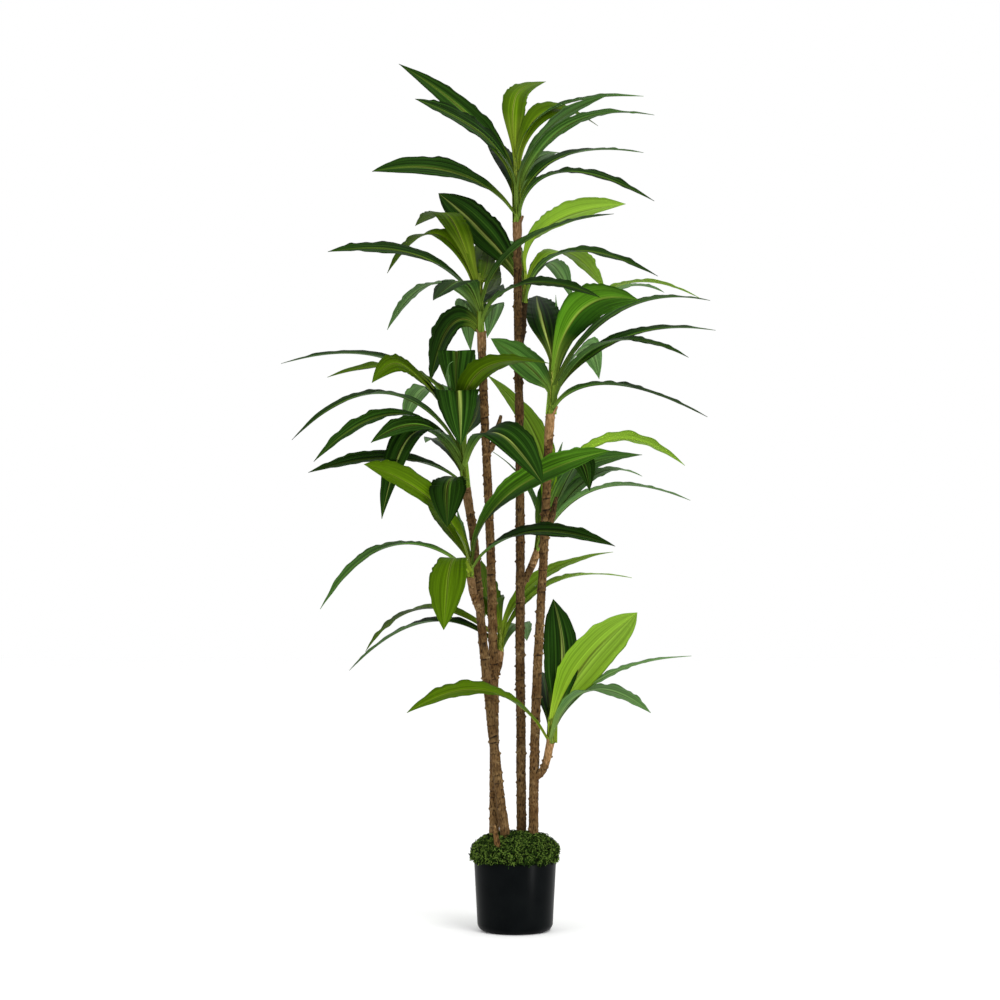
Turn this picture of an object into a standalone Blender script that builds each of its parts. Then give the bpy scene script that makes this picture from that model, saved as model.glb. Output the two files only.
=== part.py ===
"""Potted dracaena, an artificial plant of the kind that stands in a living room.

Metres, +Z up. The origin is the centre of the pot's flat underside, +X is to the right
seen from the front and +Y points away from the viewer. Four bare stems stand in a
weighted black pot under a cap of moss. Each carries a crown of long strap leaves at its
tip, and five short boughs carry a smaller crown each.
"""

import math

import bmesh
import bpy
import numpy as np
from mathutils import Vector

MM = 0.001
CM = 0.01
GAP = 0.3 * MM
ROUND_STEPS = 26
SHARP_ANGLE = math.radians(40)
MERGE_DISTANCE = 0.01 * MM

# Pot, a six inch grower's pot
POT_HEIGHT = 130 * MM
POT_TOP_RADIUS = 76 * MM
POT_LOW_RADIUS = 70 * MM
POT_CORNER = 15 * MM
POT_WALL = 2.2 * MM
POT_CORNER_STEPS = 5

# Filler, the weight that holds the stems
FILLER_TOP = 118 * MM

# Moss, a cushion that hangs over the pot's rim
MOSS_TOP = 181 * MM
MOSS_WIDEST_RADIUS = 81 * MM
MOSS_WIDEST_HEIGHT = 146 * MM
MOSS_SKIRT_HEIGHT = 125 * MM
MOSS_ARC_STEPS = 7
MOSS_SHOULDER_POWER = 0.7
MOSS_TUCK_DROP = 10 * MM
MOSS_TUCK = 0.5 * MM
MOSS_SKIRT_THICKNESS = 2 * MM
MOSS_HEM = 1 * MM

# Limbs: how many rings a route has between two of its points, and how many sides
ROUTE_STEPS = 2
LIMB_BEVEL_RESOLUTION = 2
STEM_FOOT_RADIUS = 8.2 * MM
STEM_TIP_RADIUS = 7.2 * MM
BOUGH_FOOT_RADIUS = 6.5 * MM
BOUGH_TIP_RADIUS = 6.0 * MM
STUB_FOOT_RADIUS = 6.2 * MM
STUB_TIP_RADIUS = 4.6 * MM

# Leaves
LEAF_ROWS = 6
LEAF_THICKNESS = 4.4 * MM
LEAF_TIP_WIDTH = 2.4 * MM
LEAF_BASE_SHARE = 0.2
LEAF_WIDEST_AT = 0.45
LEAF_TAPER_POWER = 2.2
FOLD_AT_BASE = math.radians(38)
FOLD_AT_TIP = math.radians(12)
HALF_WAY_DEPTH = 0.42
FIRST_LEAF_AT = 0.12
LAST_LEAF_AT = 0.92
CORE_TIP_RADIUS = 4.5 * MM
CORE_STRAIGHT = 8 * MM

# The leaves' reaches below are what shows from here, in the upright plane of the crown's
# foot. Each leaf is carried along this sight line to its own depth.
EYE = Vector((-2.8 * CM, -520 * CM, 79.6 * CM))
FRONT = -1
BACK = 1

# Stems: points of the centre line in cm, from the flat cut in the filler to the tip
STEMS = {
    "stem_front_left": [
        (-0.8, -2.4, 9.3), (-1.7, -2.4, 16.8), (-2.7, -2.4, 24.3), (-4.0, -2.4, 35.4),
        (-5.2, -2.6, 46.4), (-6.3, -3.0, 57.5), (-7.6, -3.6, 72.2), (-9.0, -4.0, 81.6),
    ],
    "stem_left": [
        (-4.0, 0.4, 9.3), (-3.9, 0.5, 17.1), (-3.85, 0.6, 31.5), (-3.95, 0.7, 46.3),
        (-4.3, 0.8, 61.1), (-4.6, 0.8, 72.2), (-5.2, 0.9, 85.2), (-6.1, 1.0, 105.5),
        (-6.2, 1.0, 110.6),
    ],
    "stem_middle": [
        (1.2, 1.8, 9.3), (1.2, 1.9, 18.2), (1.1, 2.0, 35.0), (0.95, 2.2, 49.9),
        (0.95, 2.4, 68.4), (0.85, 2.6, 90.8), (0.6, 2.8, 109.4), (0.4, 3.0, 131.2),
    ],
    "stem_right": [
        (3.4, 0.0, 9.3), (3.4, 0.0, 17.8), (3.5, 0.0, 27.8), (3.9, -0.2, 42.6),
        (4.6, -0.4, 57.4), (5.4, -0.6, 72.2), (6.1, -0.8, 88.9), (6.5, -1.0, 95.4),
    ],
}

# Boughs and stubs: the stem that each grows from, and its points from that stem's middle
BOUGHS = {
    "bough_top_side": ("stem_middle", [(0.6, 2.8, 107.5), (1.3, 4.5, 111.0), (1.7, 5.4, 116.4)]),
    "bough_left_low": ("stem_front_left", [(-6.4, -3.1, 59.2), (-7.6, -4.6, 62.2), (-8.2, -5.5, 65.6)]),
    "bough_right_back": ("stem_middle", [(0.95, 2.35, 63.6), (2.7, 3.6, 66.4), (4.2, 4.5, 70.0)]),
    "bough_back_low": ("stem_left", [(-4.0, 0.7, 46.6), (-3.1, 1.8, 48.8), (-2.8, 2.4, 51.4)]),
    "bough_right_low": ("stem_right", [(3.6, -0.05, 28.2), (5.4, -0.9, 30.2), (6.5, -1.5, 34.8)]),
}
STUBS = {
    "stub_left": ("stem_left", [(-5.3, 0.9, 88.2), (-3.9, 0.5, 90.4), (-3.3, 0.4, 92.5), (-2.6, 0.4, 95.3)]),
    "stub_right": ("stem_right", [(5.5, -0.6, 74.2), (6.7, -0.9, 76.0), (7.6, -1.0, 80.2)]),
}
SPROUT = [(-3.0, -5.6, 12.6), (-3.0, -6.0, 14.8), (-3.9, -6.4, 20.3)]

# Crowns: the limb that each sits on, where the tip of its core is from that limb's tip
# (right, back and up, in cm), and its leaves from the foot of the core up. A leaf is
# half way right, half way up, tip right, tip up, length, lean, width in mm and roll in
# degrees, which turns its upper face towards the viewer.
CROWNS = {
    "crown_top": ("stem_middle", (-0.4, 0, 12), [
        (8, 9.3, 25.5, 4, 36, FRONT, 48, 15),
        (-11.5, 9.2, -27, 9.5, 36, FRONT, 62, 45),
        (8, 12, 23.5, 13, 34, BACK, 52, 5),
        (-2, 11, -5.5, 15, 30, BACK, 50, 0),
        (3, 11, 8, 13, 28, BACK, 46, 10),
        (9.5, 18, 25.5, 20, 37, BACK, 54, 15),
        (5, 16.5, 16.5, 23.5, 33, FRONT, 58, 50),
        (-6, 15.8, -19, 23, 34, FRONT, 62, 55),
        (-8.5, 19.3, -22, 29.5, 36, BACK, 52, 30),
        (5.5, 20.5, 23.5, 23.5, 36, BACK, 44, -10),
        (5, 20.5, 15, 18, 30, BACK, 50, 35),
        (-0.3, 23.3, 5.3, 26.2, 31, BACK, 46, 25),
    ]),
    "crown_top_side": ("bough_top_side", (0.2, 0.5, 6), [
        (8, 9.5, 25, 5, 34, FRONT, 50, 15),
        (4.5, 7.5, 9, 0.5, 30, BACK, 50, 0),
        (7, 9.5, 15, 2.5, 33, BACK, 60, 0),
        (-7.4, 13.2, -16, 20.5, 28, BACK, 70, 50),
        (-2, 9, -3.5, 12, 27, BACK, 44, 0),
        (4.5, 14.4, 19, 18.5, 33, BACK, 80, -45),
    ]),
    "crown_left_high": ("stem_left", (-0.4, 0, 11), [
        (-5.5, 1.5, -9.5, -9, 18, BACK, 70, 70),
        (-2.5, 5.5, -2, -3.5, 28, BACK, 50, 0),
        (2, 5, 1, -1, 26, BACK, 46, 0),
        (8, 9, 22, 6.5, 34, FRONT, 52, 20),
        (-9, 9, -17.5, 0.5, 32, BACK, 50, 10),
        (-3.5, 9.5, -9, 6, 30, FRONT, 60, 0),
        (-11, 13.9, -28.5, 15, 37, FRONT, 60, 30),
        (2, 6.5, 4, 9, 24, BACK, 40, 0),
        (8.3, 17, 24.5, 22, 36, FRONT, 56, 15),
        (-8.3, 18.2, -17.5, 11, 32, BACK, 56, 15),
        (2, 8.5, 3.2, 12.5, 28, BACK, 32, 0),
        (-6.2, 21.6, -12.3, 19.8, 30, BACK, 62, 0),
        (0, 13, 0, 17.5, 26, BACK, 46, 0),
        (0.9, 12.5, 1.3, 17.4, 20, BACK, 34, 0),
        (2, 10, 2.8, 13.6, 16.5, BACK, 32, 0),
    ]),
    "crown_right": ("stem_right", (0.6, 0, 11), [
        (10.8, 5.5, 29, -0.5, 36, FRONT, 52, 0),
        (10, 13, 25.5, 10.5, 36, FRONT, 52, 10),
        (6, 12, 9, 6.5, 28, BACK, 54, -40),
        (13.5, 14, 30.5, 15.5, 38, BACK, 54, 10),
        (-4.3, 9, -11, 14, 15.9, FRONT, 62, 80),
        (13, 19, 29.5, 21, 38, FRONT, 52, 0),
        (10, 21.5, 21, 22.5, 36, BACK, 52, 5),
        (11, 23, 27.5, 21.5, 37, BACK, 48, 0),
        (6, 19.5, 16.5, 21, 34, FRONT, 72, -45),
        (1, 13, 1, 22, 24, BACK, 34, 60),
        (-1.3, 17.6, -2.5, 21.9, 31, BACK, 72, 0),
    ]),
    "crown_left": ("stem_front_left", (-1.6, 3, 15), [
        (-12, 5.5, -29, 3, 36, FRONT, 58, 20),
        (-3.1, 1.4, -3.5, -7, 30, FRONT, 66, 0),
        (-4.5, 8.5, -7.5, 8.5, 30, BACK, 44, 0),
        (-9.5, 10.5, -15.5, -5.5, 33, FRONT, 60, 15),
        (5.5, 10.4, 14, 1, 33, FRONT, 74, 20),
        (-7.5, 11.5, -17.5, 8.5, 32, FRONT, 54, 30),
        (-12.8, 13.7, -28, 5, 37, FRONT, 54, 15),
        (-1.8, 18, -1, 8, 27, FRONT, 80, 0),
        (-15, 17.5, -32, 9, 39, FRONT, 52, 5),
        (-12.6, 23, -34, 23, 40, FRONT, 56, 10),
        (-6.5, 18.5, -11.5, 11.5, 32, BACK, 58, 0),
        (1.5, 13, 2.5, 17.5, 26, BACK, 50, 0),
        (2.5, 21.5, 15.5, 23, 34, FRONT, 54, -20),
        (-9.5, 21.5, -25.5, 20.5, 33, BACK, 54, -10),
        (-11.6, 22.7, -17.3, 19.5, 25.5, FRONT, 54, 45),
        (-1.8, 25.3, -1.8, 17, 21, FRONT, 72, 0),
        (-3.4, 20.5, -2.4, 23.4, 27, FRONT, 9, 0),
    ]),
    "crown_left_low": ("bough_left_low", (0.2, -0.3, 4.5), [
        (-3.4, 2.8, -4.9, -9.8, 30, FRONT, 67, 0),
        (-14.3, 5.6, -27.5, -6, 36, FRONT, 52, 0),
        (10.5, 8, 26.5, 5.5, 36, FRONT, 56, 25),
        (-6.6, 13.4, -19.5, 20.5, 35, FRONT, 80, 55),
        (-4.6, 9.5, -8.2, 15.5, 24, BACK, 40, 0),
        (7.5, 15.3, 25.5, 23, 39, FRONT, 80, 50),
        (-1.8, 9.5, -2.4, 12.7, 16, BACK, 12, 0),
    ]),
    "crown_right_back": ("bough_right_back", (0.4, 0.3, 4.5), [
        (11, 11.5, 28.5, 9.5, 36, FRONT, 52, 0),
        (9.5, 13.5, 19.5, 14, 34, BACK, 46, 10),
        (7.2, 16.2, 9.7, 11.3, 25, FRONT, 60, 20),
        (-1.5, 11.5, -9, 19, 28, BACK, 14, 0),
        (4.5, 11, 8, 16.5, 32, BACK, 58, 0),
        (5, 14, 19.5, 18, 32, BACK, 58, 30),
        (11.5, 20, 27.5, 16, 37, BACK, 56, -20),
        (0.5, 19.5, -9.5, 33, 38, BACK, 56, 0),
        (3.4, 16, 4.7, 20.4, 24, BACK, 14, 0),
    ]),
    "crown_back_low": ("bough_back_low", (0.1, 0.4, 4.5), [
        (3, 5, 5, 2, 28, BACK, 50, 0),
        (-13.5, 5.5, -28, -3.5, 36, BACK, 52, 10),
        (9.5, 12.6, 24.5, 13.7, 35, BACK, 42, 0),
        (-14, 8, -25, 0, 36, BACK, 50, 10),
        (7, 13.5, 21, 18.5, 34, BACK, 38, 15),
        (-2, 9.5, -3.5, 17, 28, BACK, 50, 0),
        (-1.4, 10, -2.8, 6.5, 31, BACK, 46, 0),
    ]),
    "crown_right_low": ("bough_right_low", (0.2, -0.2, 4.5), [
        (-11.5, 9.5, -26.5, 5.5, 36, FRONT, 56, 25),
        (7, 9.5, 18.5, 5.5, 33, FRONT, 58, 10),
        (10, 12, 26, 16, 36, BACK, 40, 0),
        (-0.5, 9, -1.5, 13, 28, BACK, 50, 0),
        (3.2, 9.5, 5.2, 12.6, 30, BACK, 50, 0),
        (6, 14, 16, 24, 35, BACK, 84, 35),
        (2, 14, 0.5, 26.5, 34, BACK, 70, 0),
    ]),
}


def clear_scene():
    for obj in list(bpy.data.objects):
        bpy.data.objects.remove(obj, do_unlink=True)


def add_collection(name):
    collection = bpy.data.collections.new(name)
    bpy.context.scene.collection.children.link(collection)
    return collection


def add_material(name, colour, roughness):
    material = bpy.data.materials.new(name)
    material.use_nodes = True
    material.diffuse_color = (*colour, 1.0)
    shader = material.node_tree.nodes["Principled BSDF"]
    shader.inputs["Base Color"].default_value = (*colour, 1.0)
    shader.inputs["Roughness"].default_value = roughness
    shader.inputs["Metallic"].default_value = 0.0
    return material


def add_object(name, data, collection, material=None):
    obj = bpy.data.objects.new(name, data)
    collection.objects.link(obj)
    if material:
        obj.data.materials.append(material)
    return obj


def as_cutter(obj):
    obj.hide_render = True
    obj.display_type = "WIRE"
    return obj


def apply_modifiers(obj):
    """Swaps the object's mesh for the one that its modifiers give."""
    graph = bpy.context.evaluated_depsgraph_get()
    mesh = bpy.data.meshes.new_from_object(obj.evaluated_get(graph))
    obj.modifiers.clear()
    old = obj.data
    obj.data = mesh
    bpy.data.meshes.remove(old)


def add_turned(name, profile, collection, material):
    """Turns a profile of (radius, height) points round Z. It starts and ends on the axis."""
    mesh = bpy.data.meshes.new(name)
    edges = [(i, i + 1) for i in range(len(profile) - 1)]
    mesh.from_pydata([(radius, 0.0, height) for radius, height in profile], edges, [])
    obj = add_object(name, mesh, collection, material)
    screw = obj.modifiers.new("Turn", "SCREW")
    screw.steps = ROUND_STEPS
    screw.render_steps = ROUND_STEPS
    screw.use_merge_vertices = True
    screw.merge_threshold = MERGE_DISTANCE
    apply_modifiers(obj)
    obj.data.shade_smooth()
    obj.data.set_sharp_from_angle(angle=SHARP_ANGLE)
    return obj


def arc(centre, radius, first, last, steps):
    """Points on a quarter or other arc, as (radius, height) pairs, from one angle to another."""
    angles = np.radians(np.linspace(first, last, steps + 1))
    return [(centre[0] + radius * math.cos(a), centre[1] + radius * math.sin(a)) for a in angles]


def pot_radius(height):
    """Outer radius of the pot's straight wall at a height."""
    return POT_LOW_RADIUS + (POT_TOP_RADIUS - POT_LOW_RADIUS) * height / POT_HEIGHT


def pot_profile():
    inner_corner = POT_CORNER - POT_WALL
    side = POT_LOW_RADIUS - POT_CORNER
    inside = arc((side, POT_CORNER), inner_corner, -90, 0, POT_CORNER_STEPS)
    outside = arc((side, POT_CORNER), POT_CORNER, 0, -90, POT_CORNER_STEPS)
    rim = [
        (POT_TOP_RADIUS - POT_WALL, POT_HEIGHT - POT_WALL / 4),
        (POT_TOP_RADIUS - 3 * POT_WALL / 4, POT_HEIGHT),
        (POT_TOP_RADIUS - POT_WALL / 4, POT_HEIGHT),
        (POT_TOP_RADIUS, POT_HEIGHT - POT_WALL / 4),
    ]
    return [(0.0, POT_WALL), *inside, *rim, *outside, (0.0, 0.0)]


def filler_profile():
    inner_corner = POT_CORNER - POT_WALL - GAP
    side = POT_LOW_RADIUS - POT_CORNER
    low = arc((side, POT_CORNER), inner_corner, 0, -90, POT_CORNER_STEPS)
    edge = pot_radius(FILLER_TOP) - POT_WALL - 2 * GAP
    return [(0.0, FILLER_TOP), (edge, FILLER_TOP), *low, (0.0, POT_WALL + GAP)]


def moss_profile():
    """A dome of a quarter ellipse, a skirt outside the rim, and a foot inside the pot."""
    dome = []
    for angle in np.radians(np.linspace(90, 0, MOSS_ARC_STEPS + 1)):
        rise = (MOSS_TOP - MOSS_WIDEST_HEIGHT) * math.sin(angle)
        dome.append((MOSS_WIDEST_RADIUS * math.cos(angle) ** MOSS_SHOULDER_POWER, MOSS_WIDEST_HEIGHT + rise))
    dome[0] = (0.0, MOSS_TOP)
    skirt_radius = pot_radius(MOSS_SKIRT_HEIGHT) + GAP
    skirt = [
        (MOSS_WIDEST_RADIUS - MOSS_TUCK, MOSS_WIDEST_HEIGHT - MOSS_TUCK_DROP),
        (skirt_radius + MOSS_SKIRT_THICKNESS, MOSS_SKIRT_HEIGHT),
        (skirt_radius + GAP, MOSS_SKIRT_HEIGHT + MOSS_HEM),
        (POT_TOP_RADIUS + 2 * GAP, POT_HEIGHT + GAP),
        (POT_TOP_RADIUS - POT_WALL - 2 * GAP, POT_HEIGHT + GAP),
        (pot_radius(FILLER_TOP) - POT_WALL - 2 * GAP, FILLER_TOP + GAP),
        (0.0, FILLER_TOP + GAP),
    ]
    return dome + skirt


def route(points, steps):
    """A smooth line through points given in cm: the Catmull-Rom curve through them."""
    knots = np.array(points, float) * CM
    knots = np.vstack([2 * knots[0] - knots[1], knots, 2 * knots[-1] - knots[-2]])
    line = []
    for a, b, c, d in zip(knots, knots[1:], knots[2:], knots[3:]):
        for t in np.arange(steps) / steps:
            line.append(
                0.5 * (2 * b + (c - a) * t + (2 * a - 5 * b + 4 * c - d) * t**2
                       + (3 * b - a - 3 * c + d) * t**3)
            )
    line.append(knots[-2])
    return np.array(line)


def add_limb(name, line, foot_radius, tip_radius, collection, material=None):
    """A tapering round limb along a line, as a closed mesh with flat ends."""
    curve = bpy.data.curves.new(name, "CURVE")
    curve.dimensions = "3D"
    curve.bevel_depth = 1.0
    curve.bevel_resolution = LIMB_BEVEL_RESOLUTION
    curve.use_fill_caps = True
    spline = curve.splines.new("POLY")
    spline.points.add(len(line) - 1)
    run = np.concatenate([[0.0], np.cumsum(np.linalg.norm(np.diff(line, axis=0), axis=1))])
    for point, place, share in zip(spline.points, line, run / run[-1]):
        point.co = (*place, 1.0)
        point.radius = foot_radius + (tip_radius - foot_radius) * share
    guide = bpy.data.objects.new(name + "_guide", curve)
    collection.objects.link(guide)
    graph = bpy.context.evaluated_depsgraph_get()
    mesh = bpy.data.meshes.new_from_object(guide.evaluated_get(graph))
    mesh.name = name
    bpy.data.objects.remove(guide, do_unlink=True)
    work = bmesh.new()
    work.from_mesh(mesh)
    bmesh.ops.remove_doubles(work, verts=work.verts, dist=MERGE_DISTANCE)
    bmesh.ops.recalc_face_normals(work, faces=work.faces)
    work.to_mesh(mesh)
    work.free()
    mesh.materials.clear()
    obj = add_object(name, mesh, collection, material)
    obj.data.shade_smooth()
    obj.data.set_sharp_from_angle(angle=SHARP_ANGLE)
    return obj


def lowered(line, by):
    """The same line with its first point moved back along the line."""
    longer = line.copy()
    longer[0] -= unit(line[1] - line[0]) * by
    return longer


def unit(vector):
    return vector / np.linalg.norm(vector)


def cut(obj, operand):
    """Takes an object, or all those of a collection, out of this one."""
    boolean = obj.modifiers.new("Cut", "BOOLEAN")
    boolean.operation = "DIFFERENCE"
    boolean.solver = "EXACT"
    if isinstance(operand, bpy.types.Collection):
        boolean.operand_type = "COLLECTION"
        boolean.collection = operand
    else:
        boolean.object = operand


def leaf_width(along, widest):
    """Full width of a leaf: a quick swelling from the narrow base, then a long drawn-out taper."""
    if along < LEAF_WIDEST_AT:
        share = 1 - (1 - LEAF_BASE_SHARE) * (1 - along / LEAF_WIDEST_AT) ** 2
    else:
        share = 1 - ((along - LEAF_WIDEST_AT) / (1 - LEAF_WIDEST_AT)) ** LEAF_TAPER_POWER
    return max(widest * share, LEAF_TIP_WIDTH)


def along_sight(point, depth):
    """Where the sight line through a point is, that much further from the viewer."""
    return EYE + (point - EYE) * (1 + depth / (point.y - EYE.y))


def midrib(foot, base, leaf):
    """The three points that shape a leaf's arching midrib: base, pull and tip."""
    half_right, half_up, tip_right, tip_up, length, lean = leaf[:6]
    half = foot + Vector((half_right, 0, half_up)) * CM
    tip = foot + Vector((tip_right, 0, tip_up)) * CM
    flat = (half - base).length + (tip - half).length
    depth = lean * math.sqrt(max((length * CM) ** 2 - flat**2, 0.0))
    tip = along_sight(tip, depth)
    half = along_sight(half, depth * HALF_WAY_DEPTH)
    return base, half * 2 - (base + tip) / 2, tip


def leaf_mesh(name, foot, base, leaf):
    """A strap leaf: a grid bent along its midrib, with its two halves folded up like a V."""
    start, pull, tip = midrib(foot, base, leaf)
    widest = leaf[6] * MM
    roll = math.radians(leaf[7])
    level = Vector((tip.x - start.x, tip.y - start.y, 0)).normalized()
    across = Vector((-level.y, level.x, 0))
    if across.y > 0:
        across.negate()
    work = bmesh.new()
    bmesh.ops.create_grid(work, x_segments=2, y_segments=LEAF_ROWS, size=1.0)
    for vertex in work.verts:
        side = vertex.co.x
        u = (vertex.co.y + 1) / 2
        middle = start * (1 - u) ** 2 + pull * (2 * u * (1 - u)) + tip * u**2
        tangent = ((pull - start) * (1 - u) + (tip - pull) * u).normalized()
        flat = (across - tangent * across.dot(tangent)).normalized()
        up = flat.cross(tangent)
        if up.z < 0:
            up.negate()
        out = flat * math.cos(roll) - up * math.sin(roll)
        face = up * math.cos(roll) + flat * math.sin(roll)
        fold = FOLD_AT_TIP + (FOLD_AT_BASE - FOLD_AT_TIP) * (1 - u) ** 2
        half = leaf_width(u, widest) / 2
        vertex.co = middle + out * (side * half * math.cos(fold)) + face * (abs(side) * half * math.sin(fold))
    mesh = bpy.data.meshes.new(name)
    work.to_mesh(mesh)
    work.free()
    return mesh


def keep_outer_shell(obj):
    """Keeps the largest shell of a joined mesh, so sealed hollows fill and loose scraps go."""
    work = bmesh.new()
    work.from_mesh(obj.data)
    bmesh.ops.triangulate(work, faces=work.faces)
    waiting = set(work.faces)
    shells = []
    while waiting:
        shell = []
        front = [waiting.pop()]
        while front:
            face = front.pop()
            shell.append(face)
            plain_edges = [edge for edge in face.edges if len(edge.link_faces) == 2]
            for edge in plain_edges:
                for other in edge.link_faces:
                    if other in waiting:
                        waiting.remove(other)
                        front.append(other)
        shells.append(shell)
    shells.sort(key=len)
    for shell in shells[:-1]:
        bmesh.ops.delete(work, geom=shell, context="FACES")
    work.to_mesh(obj.data)
    work.free()


def add_crown(name, limb_line, limb_radius, crown, collection, material):
    """A core that goes on from its limb's tip, with the crown's leaves fused to it."""
    core_reach, leaves = crown[1:]
    heading = unit(limb_line[-1] - limb_line[-2])
    foot = limb_line[-1] + heading * GAP
    core_tip = foot + np.array(core_reach) * CM
    straight = foot + heading * CORE_STRAIGHT
    core_line = np.array([foot, straight, (straight + core_tip) / 2, core_tip])
    core = add_limb(name, core_line, limb_radius, CORE_TIP_RADIUS, collection, material)
    foot = Vector(foot)
    reach = Vector(core_reach) * CM
    blades = add_collection(name + "_leaves")
    for number, leaf in enumerate(leaves):
        share = FIRST_LEAF_AT + (LAST_LEAF_AT - FIRST_LEAF_AT) * number / (len(leaves) - 1)
        blade = add_object(f"{name}_leaf_{number}", leaf_mesh(name, foot, foot + reach * share, leaf), blades)
        shell = blade.modifiers.new("Thickness", "SOLIDIFY")
        shell.thickness = LEAF_THICKNESS
        shell.offset = 0.0
    join = core.modifiers.new("Join", "BOOLEAN")
    join.operation = "UNION"
    join.solver = "MANIFOLD"
    join.operand_type = "COLLECTION"
    join.collection = blades
    apply_modifiers(core)
    keep_outer_shell(core)
    for blade in list(blades.objects):
        bpy.data.objects.remove(blade, do_unlink=True)
    bpy.data.collections.remove(blades)
    return core


def main():
    clear_scene()
    plant = add_collection("potted_dracaena")
    cutters = add_collection("cutters")
    black = add_material("black_plastic", (0.008, 0.009, 0.01), 0.35)
    cement = add_material("cement", (0.3, 0.3, 0.29), 0.9)
    green_moss = add_material("moss", (0.05, 0.1, 0.014), 0.95)
    bark = add_material("bark", (0.13, 0.07, 0.035), 0.8)
    leaf_green = add_material("leaf", (0.03, 0.12, 0.015), 0.4)

    add_turned("pot", pot_profile(), plant, black)
    filler = add_turned("filler", filler_profile(), plant, cement)
    moss = add_turned("moss", moss_profile(), plant, green_moss)

    lines = {}
    trimmers = {}
    for name, points in STEMS.items():
        lines[name] = route(points, ROUTE_STEPS)
        add_limb(name, lines[name], STEM_FOOT_RADIUS, STEM_TIP_RADIUS, plant, bark)
        radii = (STEM_FOOT_RADIUS + GAP, STEM_TIP_RADIUS + GAP)
        trimmers[name] = as_cutter(add_limb(name + "_room", lowered(lines[name], GAP), *radii, cutters))

    lines["sprout"] = route(SPROUT, ROUTE_STEPS)
    add_limb("sprout", lines["sprout"], STUB_FOOT_RADIUS, STUB_TIP_RADIUS, plant, bark)
    radii = (STUB_FOOT_RADIUS + GAP, STUB_TIP_RADIUS + GAP)
    as_cutter(add_limb("sprout_room", lowered(lines["sprout"], GAP), *radii, cutters))
    cutters.hide_render = True
    cut(filler, cutters)
    cut(moss, cutters)

    for limbs, foot_radius, tip_radius in (
        (BOUGHS, BOUGH_FOOT_RADIUS, BOUGH_TIP_RADIUS),
        (STUBS, STUB_FOOT_RADIUS, STUB_TIP_RADIUS),
    ):
        for name, (stem, points) in limbs.items():
            lines[name] = route(points, ROUTE_STEPS)
            limb = add_limb(name, lines[name], foot_radius, tip_radius, plant, bark)
            cut(limb, trimmers[stem])

    for name, crown in CROWNS.items():
        radius = STEM_TIP_RADIUS if crown[0] in STEMS else BOUGH_TIP_RADIUS
        add_crown(name, lines[crown[0]], radius, crown, plant, leaf_green)


main()
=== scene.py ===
# %% [markdown]
# # A potted dracaena and its finish
#
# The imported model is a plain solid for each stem, bough and crown of an artificial dracaena.
# This lesson dresses it: fine leaves with printed stripes, moulded bark with rings and knots,
# papery sleeves, a cap of curly moss and a satin black pot. Everything is worked out in
# metres, in the same place as the solids, so nothing has to be fitted afterwards.

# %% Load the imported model
import math

import bpy
import numpy as np
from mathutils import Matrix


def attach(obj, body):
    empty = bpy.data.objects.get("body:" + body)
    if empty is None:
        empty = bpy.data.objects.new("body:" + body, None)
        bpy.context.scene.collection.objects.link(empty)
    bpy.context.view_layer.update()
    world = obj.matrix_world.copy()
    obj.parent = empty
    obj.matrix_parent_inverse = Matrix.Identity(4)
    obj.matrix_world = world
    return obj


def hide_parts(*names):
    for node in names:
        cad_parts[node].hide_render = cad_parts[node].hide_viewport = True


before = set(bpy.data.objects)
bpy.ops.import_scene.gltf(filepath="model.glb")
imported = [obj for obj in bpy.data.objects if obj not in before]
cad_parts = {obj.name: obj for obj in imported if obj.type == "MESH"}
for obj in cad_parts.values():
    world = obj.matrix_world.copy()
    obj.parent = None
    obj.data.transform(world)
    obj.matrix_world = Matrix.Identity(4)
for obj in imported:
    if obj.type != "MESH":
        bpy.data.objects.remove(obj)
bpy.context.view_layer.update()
MM = 0.001
CM = 0.01

# %% [markdown]
# ## Tubes
#
# A leaf, a stem, a curl of moss and a pot are all the same kind of surface: a ring of points
# that is carried along a path while its size and outline change. With every ring in one
# numpy array, the faces follow from the array's shape alone, whatever the tube looks like.

# %% Faces of a tube


def tube_faces(rings, joined):
    """Quads that join each point to its neighbours on its ring and on the next ring.

    rings has the shape (tubes, rings, around, 3). An open tube's two ends are closed by a
    ladder of quads between the first and the second half of the ring. A joined tube's last
    ring meets its first. A tube's signed volume is the sum of p . (q x r) / 6 over its
    triangles, and where that is negative its faces are turned round.
    """
    count, rows, around = rings.shape[:3]
    place = np.arange(count * rows * around).reshape(count, rows, around)
    beside = np.roll(place, -1, axis=2)
    above, above_beside = (np.roll(a, -1, axis=1) for a in (place, beside))
    corners = np.stack([place, beside, above_beside, above], axis=-1)
    if joined:
        quads = corners.reshape(count, -1, 4)
    else:
        step = np.arange(around // 2 - 1)
        ladder = np.stack([step, step + 1, around - 2 - step, around - 1 - step], axis=1)
        foot = place[:, 0][:, ladder[:, ::-1]]
        tip = place[:, -1][:, ladder]
        quads = np.concatenate([corners[:, :-1].reshape(count, -1, 4), foot, tip], axis=1)
    points = rings.reshape(count, -1, 3) - rings.mean(axis=(1, 2))[:, None]
    p, q, r, s = np.moveaxis(points.reshape(-1, 3)[quads], 2, 0)
    volume = (p * np.cross(q, r) + p * np.cross(r, s)).sum(axis=(1, 2)) / 6
    quads[volume < 0] = quads[volume < 0][..., ::-1]
    return quads.reshape(-1, 4)


print(len(tube_faces(np.zeros((1, 3, 8, 3)), False)), "quads close a tube of three rings of eight")

# %% A piece of the plant
SHARP = math.radians(38)


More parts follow.
